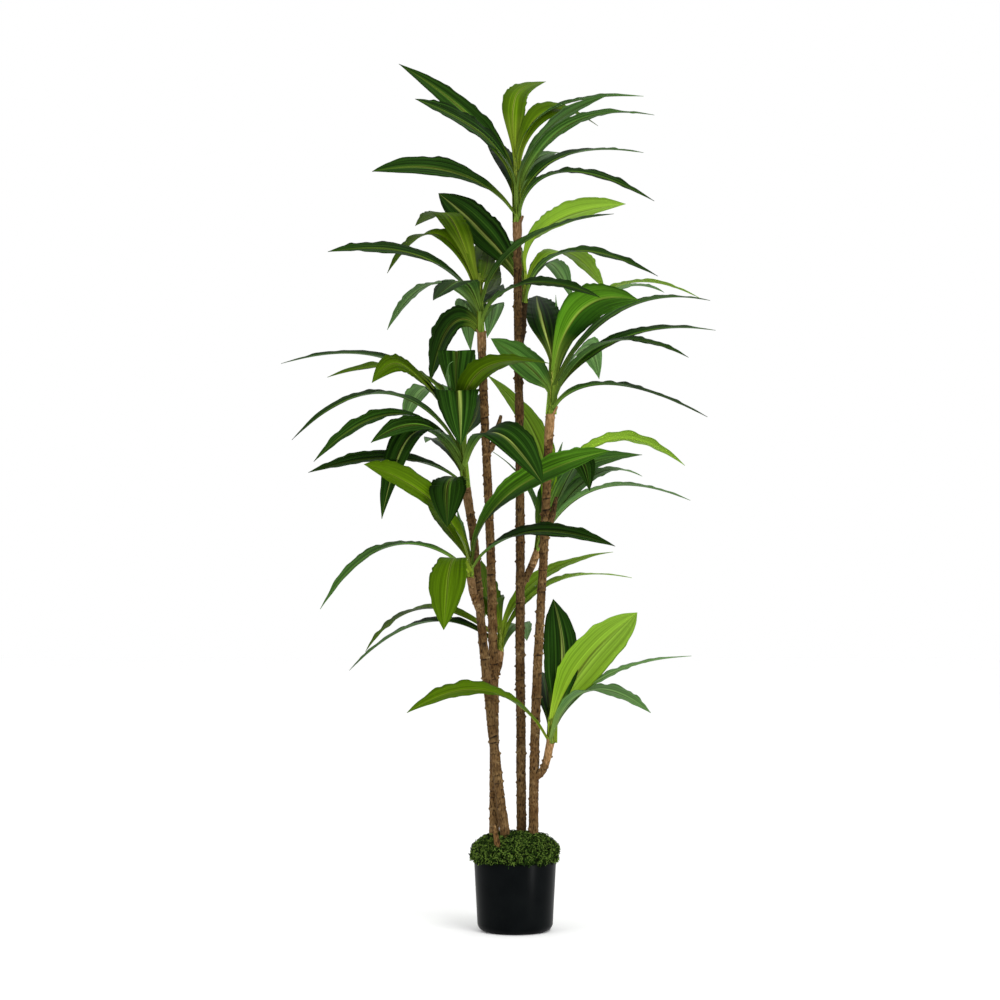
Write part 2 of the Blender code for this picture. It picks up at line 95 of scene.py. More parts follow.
def add_piece(name, rings, materials, stands_for,
              joined=False, uv=None, values=(), finish=None):
    """Makes a piece of one or more tubes, and enters it in the frame.

    uv holds each point's two map coordinates, values a named number for each point, and
    finish the material of each tube, or of each point of it, as a place in materials.
    """
    quads = tube_faces(rings, joined)
    mesh = bpy.data.meshes.new(name)
    mesh.from_pydata(rings.reshape(-1, 3), [], quads)
    for material in materials:
        mesh.materials.append(material)
    if finish is not None:
        chosen = np.broadcast_to(finish, rings.shape[:3]).reshape(-1)[quads].min(axis=1)
        mesh.polygons.foreach_set("material_index", chosen.astype(np.int32))
    if uv is not None:
        layer = mesh.uv_layers.new(name="blade")
        layer.uv.foreach_set("vector", uv.reshape(-1, 2)[quads].astype(np.float32).ravel())
    for label, number in dict(values).items():
        spread = np.broadcast_to(number, rings.shape[:3]).astype(np.float32)
        mesh.attributes.new(label, "FLOAT", "POINT").data.foreach_set("value", spread.ravel())
    mesh.shade_smooth()
    mesh.set_sharp_from_angle(angle=SHARP)
    piece = bpy.data.objects.new(name, mesh)
    bpy.context.scene.collection.objects.link(piece)
    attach(piece, "root")
    if stands_for:
        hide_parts(*stands_for)
    print(f"{name}: {2 * len(quads)} triangles")


# %% [markdown]
# ## Random relief
#
# Bark and moss are uneven in a way that no formula gives. Random numbers on a coarse grid,
# blended smoothly in between, give such a surface, and the size of the grid's cells is the
# size of the lumps. Each use has its own seed, so every run gives the same plant.

# %% Smooth noise


def smooth(t):
    """Eases from 0 to 1: 3t^2 - 2t^3, and level outside of that range."""
    t = np.clip(t, 0, 1)
    return t * t * (3 - 2 * t)


def noise(seed, cells, u, v):
    """Random heights from -1 to 1 at places u along and v round a surface, both from 0 to 1.

    Each cell of a coarse grid has a random height at its corners. In between, the heights
    are blended by the smooth curve along both axes. The grid closes on itself round v.
    """
    heights = np.random.default_rng(seed).uniform(-1, 1, (cells[0] + 2, cells[1]))
    along, about = np.clip(u, 0, 1) * cells[0], (v % 1.0) * cells[1]
    i, j = np.floor(along).astype(int), np.floor(about).astype(int)
    s, t = smooth(along - i), smooth(about - j)
    j, beside = j % cells[1], (j + 1) % cells[1]
    low, high = (heights[k, j] * (1 - t) + heights[k, beside] * t for k in (i, i + 1))
    return low * (1 - s) + high * s


print("noise at three places:", noise(1, (4, 4), np.array([0.1, 0.4, 0.9]), 0.5).round(2))

# %% [markdown]
# ## Colours and nodes
#
# Paint charts and photo editors give colours as sRGB hex codes, and a shader works with
# linear light, so one function turns the first into the second. A second function adds a
# shader node with its settings and its links, which keeps every material short enough to
# read from top to bottom.

# %% Helpers for materials
MIX_FACTOR, MIX_A, MIX_B, MIX_RESULT = 0, 6, 7, 2


def linear(hexcode):
    """Linear RGBA of an sRGB hex colour: ((c + 0.055) / 1.055)^2.4, or c / 12.92 near black."""
    c = np.array([int(hexcode[i:i + 2], 16) for i in (1, 3, 5)]) / 255
    light = np.where(c > 0.04045, ((c + 0.055) / 1.055) ** 2.4, c / 12.92)
    return (*light.tolist(), 1.0)


def feed(node, inputs):
    """Gives each of these inputs of a node its value, or a link from the output given for it."""
    for socket, value in inputs.items():
        if isinstance(value, bpy.types.NodeSocket):
            node.id_data.links.new(value, node.inputs[socket])
        else:
            node.inputs[socket].default_value = value


def add(tree, kind, inputs=None, stops=(), out=0, **settings):
    """Adds a node and gives one of its outputs. Stops are the (place, hex colour) pairs of a
    ramp, and settings are the node's own properties."""
    node = tree.nodes.new("ShaderNode" + kind)
    for label, value in settings.items():
        setattr(node, label, value)
    feed(node, inputs or {})
    if stops:
        elements = node.color_ramp.elements
        for place, colour in stops[2:]:
            elements.new(place)
        for element, (place, colour) in zip(elements, sorted(stops)):
            element.position = place
            element.color = linear(colour)
    return node.outputs[out]


def new_material(name, roughness, ior=1.45):
    """An empty material, its node tree and its shader.

    A low ior stands for a surface that is rough below what shows, such as worn plastic or
    cloth, which mirrors little even at a low angle.
    """
    material = bpy.data.materials.new(name)
    material.use_nodes = True
    shader = material.node_tree.nodes["Principled BSDF"]
    feed(shader, {"Roughness": roughness, "IOR": ior})
    return material, material.node_tree, shader


print("the middle grey #808080 is", round(linear("#808080")[0], 3), "in linear light")

# %% [markdown]
# ## The pot
#
# The pot is a grower's pot of polypropylene, blown in a polished mould: black, satin, with
# a rounded lower edge and no band at its rim. A profile turned round the axis makes it, with
# an arc at each corner. Black plastic shows as soft grey bands where it mirrors the room, so
# its roughness matters more than its colour, and a fine unevenness breaks the bands up.

# %% Turned pieces
POT_AROUND = 160
POT_HEIGHT = 130 * MM
POT_TOP_RADIUS = 76 * MM
POT_LOW_RADIUS = 70 * MM
POT_CORNER = 15 * MM
POT_WALL = 2.2 * MM
AXIS_HOLE = 0.5 * MM


def full_turn(count):
    """That many evenly spaced angles round a circle: 2 pi i / n."""
    return np.arange(count) / count * 2 * math.pi


def arc(centre, radius, first, last, steps):
    """Points (radius, height) on an arc from one angle to another, in degrees."""
    angles = np.radians(np.linspace(first, last, steps))
    return np.stack([centre[0] + radius * np.cos(angles), centre[1] + radius * np.sin(angles)], axis=1)


def turned(radius, height, around):
    """Rings of points turned round Z, (r cos a, r sin a, z). Both sizes are (along, around)."""
    turn = full_turn(around)
    return np.stack([radius * np.cos(turn), radius * np.sin(turn), height + 0 * turn], axis=-1)[None]


def pot_profile():
    """Up the inside, over the round rim, down the outside and under the flat bottom."""
    side = POT_LOW_RADIUS - POT_CORNER
    inside = arc((side, POT_CORNER), POT_CORNER - POT_WALL, -90, 0, 10)
    rim = arc((POT_TOP_RADIUS - POT_WALL / 2, POT_HEIGHT - POT_WALL / 2), POT_WALL / 2, 180, 0, 9)
    outside = arc((side, POT_CORNER), POT_CORNER, 0, -90, 12)
    return np.concatenate([[(AXIS_HOLE, POT_WALL)], inside, rim, outside, [(AXIS_HOLE, 0.0)]])


print("the pot's profile has", len(pot_profile()), "points")

# %% Satin black polypropylene
# Moulded plastic has fine waves that bend what it mirrors, and scuffs that dull its gloss.
WAVE, SCUFF = 2.5 * MM, 40 * MM
black_plastic, tree, shader = new_material("satin_black_polypropylene", 0.3, 1.11)
place = add(tree, "TexCoord", out="Object")
waves = add(tree, "TexNoise", {"Vector": place, "Scale": 1 / WAVE, "Detail": 2.0})
scuffs = add(tree, "TexNoise", {"Vector": place, "Scale": 1 / SCUFF, "Detail": 4.0})
feed(shader, {
    "Base Color": add(tree, "ValToRGB", {0: scuffs}, stops=[(0.3, "#030506"), (0.75, "#080B0C")]),
    "Roughness": add(tree, "MapRange", {"Value": scuffs, "To Min": 0.26, "To Max": 0.36}),
    "Normal": add(tree, "Bump", {"Height": waves, "Strength": 0.05, "Distance": 0.2 * MM}),
})

pot_radius, pot_height = pot_profile().T[:, :, None]
add_piece("black_pot", turned(pot_radius, pot_height, POT_AROUND), [black_plastic], ["pot"])

# %% [markdown]
# ## Cement
#
# Under the moss the stems stand in cast cement, which gives such a plant its weight. Nothing
# of it shows, so its solid stays as it is and only gets its grey, grainy finish.

# %% Cast cement


def grained_material(name, roughness, ior, grain, detail, upright, stops):
    """A material coloured by noise whose grains have a real size, and its nodes.

    Below 1, upright draws the grains out along Z into fibres.
    """
    material, tree, shader = new_material(name, roughness, ior)
    place = add(tree, "TexCoord", out="Object")
    stretched = add(tree, "Mapping", {"Vector": place, "Scale": (1.0, 1.0, upright)})
    grains = add(tree, "TexNoise", {"Vector": stretched, "Scale": 1 / grain, "Detail": detail})
    tone = add(tree, "ValToRGB", {0: grains}, stops=stops)
    feed(shader, {"Base Color": tone})
    return material, tree, shader, grains, tone


# Cast cement is chalky and dull, with grains of sand in two greys.
cement = grained_material("cast_cement", 0.9, 1.45, 1.5 * MM, 3.0, 1.0, [
    (0.35, "#8B8A86"), (0.7, "#B3B1AB")])[0]
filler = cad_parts["filler"].data
filler.materials.clear()
filler.materials.append(cement)
print("filler:", cement.name)

# %% [markdown]
# ## Limbs
#
# Every limb follows a smooth curve through a few points, from its flat foot to its tip. The
# points are those of the solids. The Catmull-Rom curve passes through all of them, which
# suits points that were read off a plant.

# %% Routes of the limbs, in cm
STEMS = {
    "stem_front_left": [
        (-0.8, -2.4, 9.3), (-1.7, -2.4, 16.8), (-2.7, -2.4, 24.3), (-4.0, -2.4, 35.4),
        (-5.2, -2.6, 46.4), (-6.3, -3.0, 57.5), (-7.6, -3.6, 72.2), (-9.0, -4.0, 81.6),
    ],
    "stem_left": [
        (-4.0, 0.4, 9.3), (-3.9, 0.5, 17.1), (-3.85, 0.6, 31.5), (-3.95, 0.7, 46.3),
        (-4.3, 0.8, 61.1), (-4.6, 0.8, 72.2), (-5.2, 0.9, 85.2), (-6.1, 1.0, 105.5),
        (-6.2, 1.0, 110.6),
    ],
    "stem_middle": [
        (1.2, 1.8, 9.3), (1.2, 1.9, 18.2), (1.1, 2.0, 35.0), (0.95, 2.2, 49.9),
        (0.95, 2.4, 68.4), (0.85, 2.6, 90.8), (0.6, 2.8, 109.4), (0.4, 3.0, 131.2),
    ],
    "stem_right": [
        (3.4, 0.0, 9.3), (3.4, 0.0, 17.8), (3.5, 0.0, 27.8), (3.9, -0.2, 42.6),
        (4.6, -0.4, 57.4), (5.4, -0.6, 72.2), (6.1, -0.8, 88.9), (6.5, -1.0, 95.4),
    ],
}
BOUGHS = {
    "bough_top_side": [(0.6, 2.8, 107.5), (1.3, 4.5, 111.0), (1.7, 5.4, 116.4)],
    "bough_left_low": [(-6.4, -3.1, 59.2), (-7.6, -4.6, 62.2), (-8.2, -5.5, 65.6)],
    "bough_right_back": [(0.95, 2.35, 63.6), (2.7, 3.6, 66.4), (4.2, 4.5, 70.0)],
    "bough_back_low": [(-4.0, 0.7, 46.6), (-3.1, 1.8, 48.8), (-2.8, 2.4, 51.4)],
    "bough_right_low": [(3.6, -0.05, 28.2), (5.4, -0.9, 30.2), (6.5, -1.5, 34.8)],
}
STUBS = {
    "stub_left": [(-5.3, 0.9, 88.2), (-3.9, 0.5, 90.4), (-3.3, 0.4, 92.5), (-2.6, 0.4, 95.3)],
    "stub_right": [(5.5, -0.6, 74.2), (6.7, -0.9, 76.0), (7.6, -1.0, 80.2)],
    "sprout": [(-3.0, -5.6, 12.6), (-3.0, -6.0, 14.8), (-3.9, -6.4, 20.3)],
}
# Radius at the foot and at the tip, below the bark.
STEM_RADII = (8.2 * MM, 7.2 * MM)
BOUGH_RADII = (6.5 * MM, 6.0 * MM)
STUB_RADII = (5.7 * MM, 4.1 * MM)
print(len(STEMS), "stems,", len(BOUGHS), "boughs and", len(STUBS), "stubs")

# %% Lines and the rings along them
ROUTE_STEPS = 24


def unit(vectors):
    """Vectors brought to length one: v / |v|."""
    return vectors / np.linalg.norm(vectors, axis=-1, keepdims=True)


def distance_along(points):
    """How far each point of a line is from its first one: the running sum of |p' - p|."""
    return np.concatenate([[0.0], np.cumsum(np.linalg.norm(np.diff(points, axis=0), axis=1))])


def read_off(places, marks, table):
    """The columns of a table, whose rows are at the marks, read at other places between them."""
    return np.stack([np.interp(places, marks, column) for column in table.T], axis=-1)


def route(points, spacing):
    """An evenly spaced smooth line through points given in cm, and the distance along it.

    Between knots b and c, with a before and d after, the Catmull-Rom curve is
    half of 2b + (c - a)t + (2a - 5b + 4c - d)t^2 + (3b - a - 3c + d)t^3.
    """
    knots = np.array(points, float) * CM
    knots = np.vstack([2 * knots[0] - knots[1], knots, 2 * knots[-1] - knots[-2]])
    a, b, c, d = (knots[i:len(knots) - 3 + i, None] for i in range(4))
    t = (np.arange(ROUTE_STEPS) / ROUTE_STEPS)[None, :, None]
    curve = 2 * b + (c - a) * t + (2 * a - 5 * b + 4 * c - d) * t**2 + (3 * b - a - 3 * c + d) * t**3
    curve = np.vstack([curve.reshape(-1, 3) / 2, knots[-2]])
    run = distance_along(curve)
    even = np.linspace(0, run[-1], round(run[-1] / spacing))
    return read_off(even, run, curve), even


def outward(ahead, angles):
    """Ways square to a line: side cos a + deep sin a, with side as near +X as it can be."""
    side = unit(np.array([1.0, 0, 0]) - ahead * ahead[..., :1])
    return side * np.cos(angles)[:, None] + np.cross(ahead, side) * np.sin(angles)[:, None]


def rings_along(line, radius, angles):
    """Rings round a line: p + r outward, with a radius for each point (along, around)."""
    ahead = unit(np.gradient(line, axis=0))[:, None]
    return line[:, None] + outward(ahead, angles) * radius[..., None]


print("the middle stem is", round(route(STEMS["stem_middle"], CM)[1][-1] / CM), "cm long")

# %% [markdown]
# ## Bark
#
# The stems of a real dracaena keep a ring where each old leaf sat. On this plant they are
# moulded in brown plastic over steel wire: a ring every one or two centimetres with a groove
# under it, knots on two sides of it, and fine cracks that run up the stem. The relief is
# worked out as a height over the smooth tube, so the outline is uneven too, and the same
# height is kept on the mesh to paint shade into the grooves and highlights on the ridges and knots.

# %% Relief of the bark
BARK_SPACING = 1.5 * MM
BARK_AROUND = 30
BARK_SKIN = 0.5 * MM
# Height and length of lumps, the fewest along a limb, and how many go round it.
LUMPS = ((0.4 * MM, 20 * MM, 2, 4), (0.34 * MM, 8 * MM, 3, 11), (0.24 * MM, 4 * MM, 4, 15))
# Least and most in mm: place of the first ring, space between rings, tilt and groove.
FIRST_RING, RING_SPACE, RING_TILT, RING_CUT = (5, 16), (8, 24), (0.4, 2.6), (0.5, 1.3)
BARE_TIP, GROOVE_WIDTH = 4 * MM, 1.3 * MM
STEP_ABOVE, STEP_WIDTH, STEP_SHARE = 2.6 * MM, 1.6 * MM, 0.6
RING_EVENNESS = 0.55
KNOT_HEIGHTS, KNOTS_APART = (0.7, 2.0, 3.3), (1.5, 3.0)
KNOT_ABOVE, KNOT_LENGTH, KNOT_SPREAD = 1.8 * MM, 2.4 * MM, 0.44


def either_way(angles):
    """The same angles as at most half a turn either way: (a + pi) mod 2 pi, less pi."""
    return (angles + math.pi) % (2 * math.pi) - math.pi


def bark_relief(run, angles, seed):
    """Height of the bark over the smooth limb, at (along, around).

    Each ring is a groove -exp(-(d / w)^2) with a low step above it, where d is the distance
    from a slightly tilted ring. A knot is a bump in both directions. Lumps are noise.
    """
    rng = np.random.default_rng(seed)
    length = run[-1]
    u, v = np.broadcast_arrays((run / length)[:, None], (angles / (2 * math.pi))[None])
    height = np.full(u.shape, BARK_SKIN)
    for number, (lump, lump_length, fewest, around) in enumerate(LUMPS, start=1):
        cells = max(fewest, round(length / lump_length)), around
        height = height + lump * noise(seed + number, cells, u, v)
    place = rng.uniform(*FIRST_RING) * MM
    while place < length - BARE_TIP:
        across = either_way(angles - rng.uniform(0, 2 * math.pi))
        d = run[:, None] - place - rng.uniform(*RING_TILT) * MM * np.cos(across)
        cut = rng.uniform(*RING_CUT) * MM
        cut = cut * (RING_EVENNESS + (1 - RING_EVENNESS) * np.cos(across + 1.0))
        height = height - cut * np.exp(-((d / GROOVE_WIDTH) ** 2))
        height = height + STEP_SHARE * cut * np.exp(-(((d - STEP_ABOVE) / STEP_WIDTH) ** 2))
        for side in (0.0, rng.uniform(*KNOTS_APART)):
            knot = rng.choice(KNOT_HEIGHTS) * MM
            off = either_way(across - side) / KNOT_SPREAD
            height = height + knot * np.exp(-(((d - KNOT_ABOVE) / KNOT_LENGTH) ** 2) - off**2)
        place = place + rng.uniform(*RING_SPACE) * MM
    return height


# %% Moulded bark
# The plastic is coloured brown, darkened by a wash in fine streaks up the stem, with paler
# patches a few centimetres wide. It is matt. The hollows of the relief get painted shade and
# its ridges and knots painted highlights. Each limb has its own lightness.
STREAK, PATCH = 2.6 * MM, 30 * MM
HOLLOW, EDGE = -0.6 * MM, 3.4 * MM
bark, tree, shader = new_material("brown_plastic_painted_relief_shade", 0.8, 1.2)
place = add(tree, "TexCoord", out="Object")
stretched = add(tree, "Mapping", {"Vector": place, "Scale": (1.0, 1.0, 0.4)})
streaks = add(tree, "TexNoise", {"Vector": stretched, "Scale": 1 / STREAK, "Detail": 4.0})
patches = add(tree, "TexNoise", {"Vector": place, "Scale": 1 / PATCH, "Detail": 3.0})
relief = add(tree, "Attribute", out="Fac", attribute_name="relief")
# Painted shade and highlight: low relief, in the grooves, is coloured dark, and high relief, on the
# ridges and knots, light.
relief_shading = add(tree, "MapRange", {"Value": relief, "From Min": HOLLOW, "From Max": EDGE})
colour = add(tree, "ValToRGB", {0: relief_shading}, stops=[
    (0.0, "#1E150A"), (0.14, "#433420"), (0.25, "#665031"), (0.45, "#745C3B"), (1.0, "#8F7A58")])
wash = add(tree, "ValToRGB", {0: streaks}, stops=[
    (0.34, "#6E6455"), (0.47, "#D8D2C8"), (0.66, "#FFFFFF")])
faded = add(tree, "ValToRGB", {0: patches}, stops=[(0.35, "#CDBFAE"), (0.65, "#FFFFFF")])
for layer in (wash, faded):
    colour = add(tree, "Mix", {MIX_FACTOR: 1.0, MIX_A: colour, MIX_B: layer}, out=MIX_RESULT,
                 data_type="RGBA", blend_type="MULTIPLY")
lightness_factor = add(tree, "Attribute", out="Fac", attribute_name="lightness")
feed(shader, {
    "Base Color": add(tree, "HueSaturation", {"Color": colour, "Value": lightness_factor}),
    "Normal": add(tree, "Bump", {"Height": streaks, "Strength": 0.5, "Distance": 0.5 * MM}),
})
print("limbs:", bark.name)

# %% Stems, boughs and stubs
FOOT_FLARE = 0.6 * MM
STUB_ROUNDING = 0.5
USUAL_LIGHTNESS = 1.2
# Each limb's own lightness. On bough_top_side and stem_middle the darker value is painted shade.
LIMB_LIGHTNESS_AND_SHADE = {"stem_middle": 0.94, "stem_right": 1.16, "stem_left": 1.22, "stem_front_left": 0.98,
             "bough_top_side": 0.4, "stub_left": 0.95, "stub_right": 0.8, "sprout": 1.5}
ends = {}
bark_angles = full_turn(BARK_AROUND)
families = (STEMS, STEM_RADII), (BOUGHS, BOUGH_RADII), (STUBS, STUB_RADII)
for family, (limbs, radii) in enumerate(families):
    for number, (name, points) in enumerate(limbs.items()):
        line, run = route(points, BARK_SPACING)
        share = run / run[-1]
        radius = radii[0] + (radii[1] - radii[0]) * share
        if limbs is STUBS:
            radius = radius * (1 - STUB_ROUNDING * share**6)
        height = bark_relief(run, bark_angles, 100 * family + 10 * number)
        height = height + FOOT_FLARE * (1 - share)[:, None] ** 2
        rings = rings_along(line, radius[:, None] + height, bark_angles)
        values = {"relief": height[None], "lightness": LIMB_LIGHTNESS_AND_SHADE.get(name, USUAL_LIGHTNESS)}
        add_piece(name + "_bark", rings[None], [bark], [name], values=values)
        ends[name] = line, run, radii[1]

# %% [markdown]
# ## Crowns
#
# A crown's leaves sit on a core that goes on from the tip of its limb, one above the other.
# Each leaf is told by its length and by where its middle and its tip show from the front.
# What it doesn't use of its length in the plane of the picture it reaches forward or back,
# along the line of sight, so the front view is right and the depth follows. This is the rule
# of the solids, with a finer blade and with the tone of each leaf.

# %% The leaves
# A crown has its limb, the way from that limb's tip to the core's tip (right, back and up, in
# cm), and its leaves from the lowest up. A leaf has its middle (right, up) and its tip (right,
# up) as seen from the limb's tip, and its length, all in cm, then its lean, its width in mm,
# its roll in degrees and its tone. Its crease follows if it was bent over, and the place along
# it where it is widest if that is unusual.
FRONT, BACK = -1, 1
DARK, STRIPED, MID, BRIGHT, PALE, UNDER, HALF = range(7)
# Places in a leaf's row.
WIDTH, ROLL, TONE = 6, 7, 8
CROWNS = {"crown_top": ("stem_middle", (-0.4, 0, 12), [
    (8, 9.3, 25.5, 4, 36, FRONT, 48, 15, DARK),
    (-11.5, 9.2, -27, 9.5, 36, FRONT, 62, 45, DARK),
    (8, 12, 23.5, 13, 34, BACK, 52, 5, DARK),
    (-2, 11, -5.5, 15, 30, BACK, 50, 0, DARK),
    (3, 11, 8, 13, 28, BACK, 46, 10, PALE),
    (9.5, 18, 25.5, 20, 37, BACK, 54, 15, UNDER),
    (5, 16.5, 16.5, 23.5, 33, FRONT, 58, 50, UNDER),
    (-6, 15.8, -19, 23, 34, FRONT, 62, 55, DARK),
    (-8.5, 19.3, -22, 29.5, 36, BACK, 52, 30, DARK),
    (5.5, 20.5, 23.5, 23.5, 36, BACK, 44, -10, PALE),
    (5, 20.5, 15, 18, 30, BACK, 50, 35, MID),
    (-0.3, 23.3, 5.3, 26.2, 31, BACK, 46, 25, MID, 2.5, 0.4),
]), "crown_top_side": ("bough_top_side", (0.2, 0.5, 6), [
    (8, 9.5, 25, 5, 34, FRONT, 50, 15, DARK),
    (4.5, 7.5, 9, 0.5, 30, BACK, 50, 0, PALE),
    (7, 9.5, 15, 2.5, 33, BACK, 60, 0, BRIGHT),
    (-7.4, 13.2, -16, 20.5, 28, BACK, 70, 50, STRIPED),
    (-2, 9, -3.5, 12, 27, BACK, 44, 0, PALE),
    (4.5, 14.4, 19, 18.5, 33, BACK, 80, -45, BRIGHT, 1, 0.34),
]), "crown_left_high": ("stem_left", (-0.4, 0, 11), [
    (-5.5, 1.5, -9.5, -9, 18, BACK, 70, 70, DARK),
    (-2.5, 5.5, -2, -3.5, 28, BACK, 50, 0, PALE),
    (2, 5, 1, -1, 26, BACK, 46, 0, PALE),
    (8, 9, 22, 6.5, 34, FRONT, 52, 20, DARK),
    (-9, 9, -17.5, 0.5, 32, BACK, 50, 10, PALE),
    (-3.5, 9.5, -9, 6, 30, FRONT, 60, 0, DARK, 2.0),
    (-11, 13.9, -28.5, 15, 37, FRONT, 60, 30, DARK),
    (2, 6.5, 4, 9, 24, BACK, 40, 0, DARK),
    (8.3, 17, 24.5, 22, 36, FRONT, 56, 15, DARK),
    (-8.3, 18.2, -17.5, 11, 32, BACK, 56, 15, MID),
    (2, 8.5, 3.2, 12.5, 28, BACK, 32, 0, MID),
    (-6.2, 21.6, -12.3, 19.8, 30, BACK, 62, 0, MID, 2.5),
    (0, 13, 0, 17.5, 26, BACK, 46, 0, MID),
    (0.9, 12.5, 1.3, 17.4, 20, BACK, 34, 0, MID),
    (2, 10, 2.8, 13.6, 16.5, BACK, 32, 0, MID),
]), "crown_right": ("stem_right", (0.6, 0, 11), [
    (10.8, 5.5, 29, -0.5, 36, FRONT, 52, 0, DARK),
    (10, 13, 25.5, 10.5, 36, FRONT, 52, 10, DARK),
    (6, 12, 9, 6.5, 28, BACK, 54, -40, PALE),
    (13.5, 14, 30.5, 15.5, 38, BACK, 54, 10, DARK),
    (-4.3, 9, -11, 14, 15.9, FRONT, 62, 80, UNDER, 1, 0.45),
    (13, 19, 29.5, 21, 38, FRONT, 52, 0, DARK),
    (10, 21.5, 21, 22.5, 36, BACK, 52, 5, PALE),
    (11, 23, 27.5, 21.5, 37, BACK, 48, 0, BRIGHT),
    (6, 19.5, 16.5, 21, 34, FRONT, 72, -45, HALF, 1, 0.45),
    (1, 13, 1, 22, 24, BACK, 34, 60, PALE),
    (-1.3, 17.6, -2.5, 21.9, 31, BACK, 72, 0, STRIPED, 1, 0.4),
]), "crown_left": ("stem_front_left", (-1.6, 3, 15), [
    (-12, 5.5, -29, 3, 36, FRONT, 58, 20, DARK),
    (-3.1, 1.4, -3.5, -7, 30, FRONT, 66, 0, DARK, 2.5),
    (-4.5, 8.5, -7.5, 8.5, 30, BACK, 44, 0, DARK),
    (-9.5, 10.5, -15.5, -5.5, 33, FRONT, 60, 15, STRIPED),
    (5.5, 10.4, 14, 1, 33, FRONT, 74, 20, STRIPED),
    (-7.5, 11.5, -17.5, 8.5, 32, FRONT, 54, 30, DARK),
    (-12.8, 13.7, -28, 5, 37, FRONT, 54, 15, DARK),
    (-1.8, 18, -1, 8, 27, FRONT, 80, 0, STRIPED, 3.0),
    (-15, 17.5, -32, 9, 39, FRONT, 52, 5, DARK),
    (-12.6, 23, -34, 23, 40, FRONT, 56, 10, DARK),
    (-6.5, 18.5, -11.5, 11.5, 32, BACK, 58, 0, PALE),
    (1.5, 13, 2.5, 17.5, 26, BACK, 50, 0, DARK),
    (2.5, 21.5, 15.5, 23, 34, FRONT, 54, -20, MID),
    (-9.5, 21.5, -25.5, 20.5, 33, BACK, 54, -10, MID),
    (-11.6, 22.7, -17.3, 19.5, 25.5, FRONT, 54, 45, MID, 2.5),
    (-1.8, 25.3, -1.8, 17, 21, FRONT, 72, 0, DARK, 3.0),
    (-3.4, 20.5, -2.4, 23.4, 27, FRONT, 9, 0, PALE),
]), "crown_left_low": ("bough_left_low", (0.2, -0.3, 4.5), [
    (-3.4, 2.8, -4.9, -9.8, 30, FRONT, 67, 0, MID, 2.0, 0.6),
    (-14.3, 5.6, -27.5, -6, 36, FRONT, 52, 0, UNDER),
    (10.5, 8, 26.5, 5.5, 36, FRONT, 56, 25, DARK),
    (-6.6, 13.4, -19.5, 20.5, 35, FRONT, 80, 55, MID),
    (-4.6, 9.5, -8.2, 15.5, 24, BACK, 40, 0, MID),
    (7.5, 15.3, 25.5, 23, 39, FRONT, 80, 50, HALF),
    (-1.8, 9.5, -2.4, 12.7, 16, BACK, 12, 0, PALE),
]), "crown_right_back": ("bough_right_back", (0.4, 0.3, 4.5), [
    (11, 11.5, 28.5, 9.5, 36, FRONT, 52, 0, PALE),
    (9.5, 13.5, 19.5, 14, 34, BACK, 46, 10, PALE),
    (7.2, 16.2, 9.7, 11.3, 25, FRONT, 60, 20, DARK, 2.0),
    (-1.5, 11.5, -9, 19, 28, BACK, 14, 0, PALE),
    (4.5, 11, 8, 16.5, 32, BACK, 58, 0, STRIPED),
    (5, 14, 19.5, 18, 32, BACK, 58, 30, UNDER),
    (11.5, 20, 27.5, 16, 37, BACK, 56, -20, BRIGHT),
    (0.5, 19.5, -9.5, 33, 38, BACK, 56, 0, BRIGHT),
    (3.4, 16, 4.7, 20.4, 24, BACK, 14, 0, PALE),
]), "crown_back_low": ("bough_back_low", (0.1, 0.4, 4.5), [
    (3, 5, 5, 2, 28, BACK, 50, 0, PALE),
    (-13.5, 5.5, -28, -3.5, 36, BACK, 52, 10, DARK),
    (9.5, 12.6, 24.5, 13.7, 35, BACK, 42, 0, BRIGHT),
    (-14, 8, -25, 0, 36, BACK, 50, 10, MID),
    (7, 13.5, 21, 18.5, 34, BACK, 38, 15, BRIGHT),
    (-2, 9.5, -3.5, 17, 28, BACK, 50, 0, MID),
    (-1.4, 10, -2.8, 6.5, 31, BACK, 46, 0, MID),
]), "crown_right_low": ("bough_right_low", (0.2, -0.2, 4.5), [
    (-11.5, 9.5, -26.5, 5.5, 36, FRONT, 56, 25, MID),
    (7, 9.5, 18.5, 5.5, 33, FRONT, 58, 10, PALE),
    (10, 12, 26, 16, 36, BACK, 40, 0, PALE),
    (-0.5, 9, -1.5, 13, 28, BACK, 50, 0, DARK),
    (3.2, 9.5, 5.2, 12.6, 30, BACK, 50, 0, DARK),
    (6, 14, 16, 24, 35, BACK, 84, 35, BRIGHT),
    (2, 14, 0.5, 26.5, 34, BACK, 70, 0, STRIPED),
])}
print(sum(len(rows) for _, _, rows in CROWNS.values()), "leaves on", len(CROWNS), "crowns")

# %% [markdown]
# ## A blade
#
# A leaf is printed polyester cloth with a wire glued under its midrib. It starts as a narrow
# stalk that wraps the shoot, swells slowly and then tapers for almost half of its length,
# later on a wide leaf. Its two halves are folded up like a V, most at the foot, and its
# margins ripple, because the cloth shrinks less there when it is heat set. Some leaves were
# bent over sharply in the box and kept the bend. The blade is a grid of places u along and
# s across, from which the arch, the fold, the ripple and the thickness are added up.

# %% Line of a leaf
EYE = np.array([-2.8, -520, 79.6]) * CM
HALF_WAY_DEPTH = 0.42
STALK = 0.14
LEAF_ROWS = np.concatenate([np.linspace(-STALK, 0, 7)[:-1], np.linspace(0, 1, 80)])
# A leaf starts off the shoot's axis, and a low leaf's stalk further off.
OFF_AXIS, FOOT_OFF_AXIS = 4.5 * MM, 2.5 * MM
TALLEST_SHOOT = 150 * MM
LETS_GO_BY = 0.15


def along_sight(point, depth):
    """Where the sight line through a point is, that much further from the viewer."""
    return EYE + (point - EYE) * (1 + depth / (point[1] - EYE[1]))


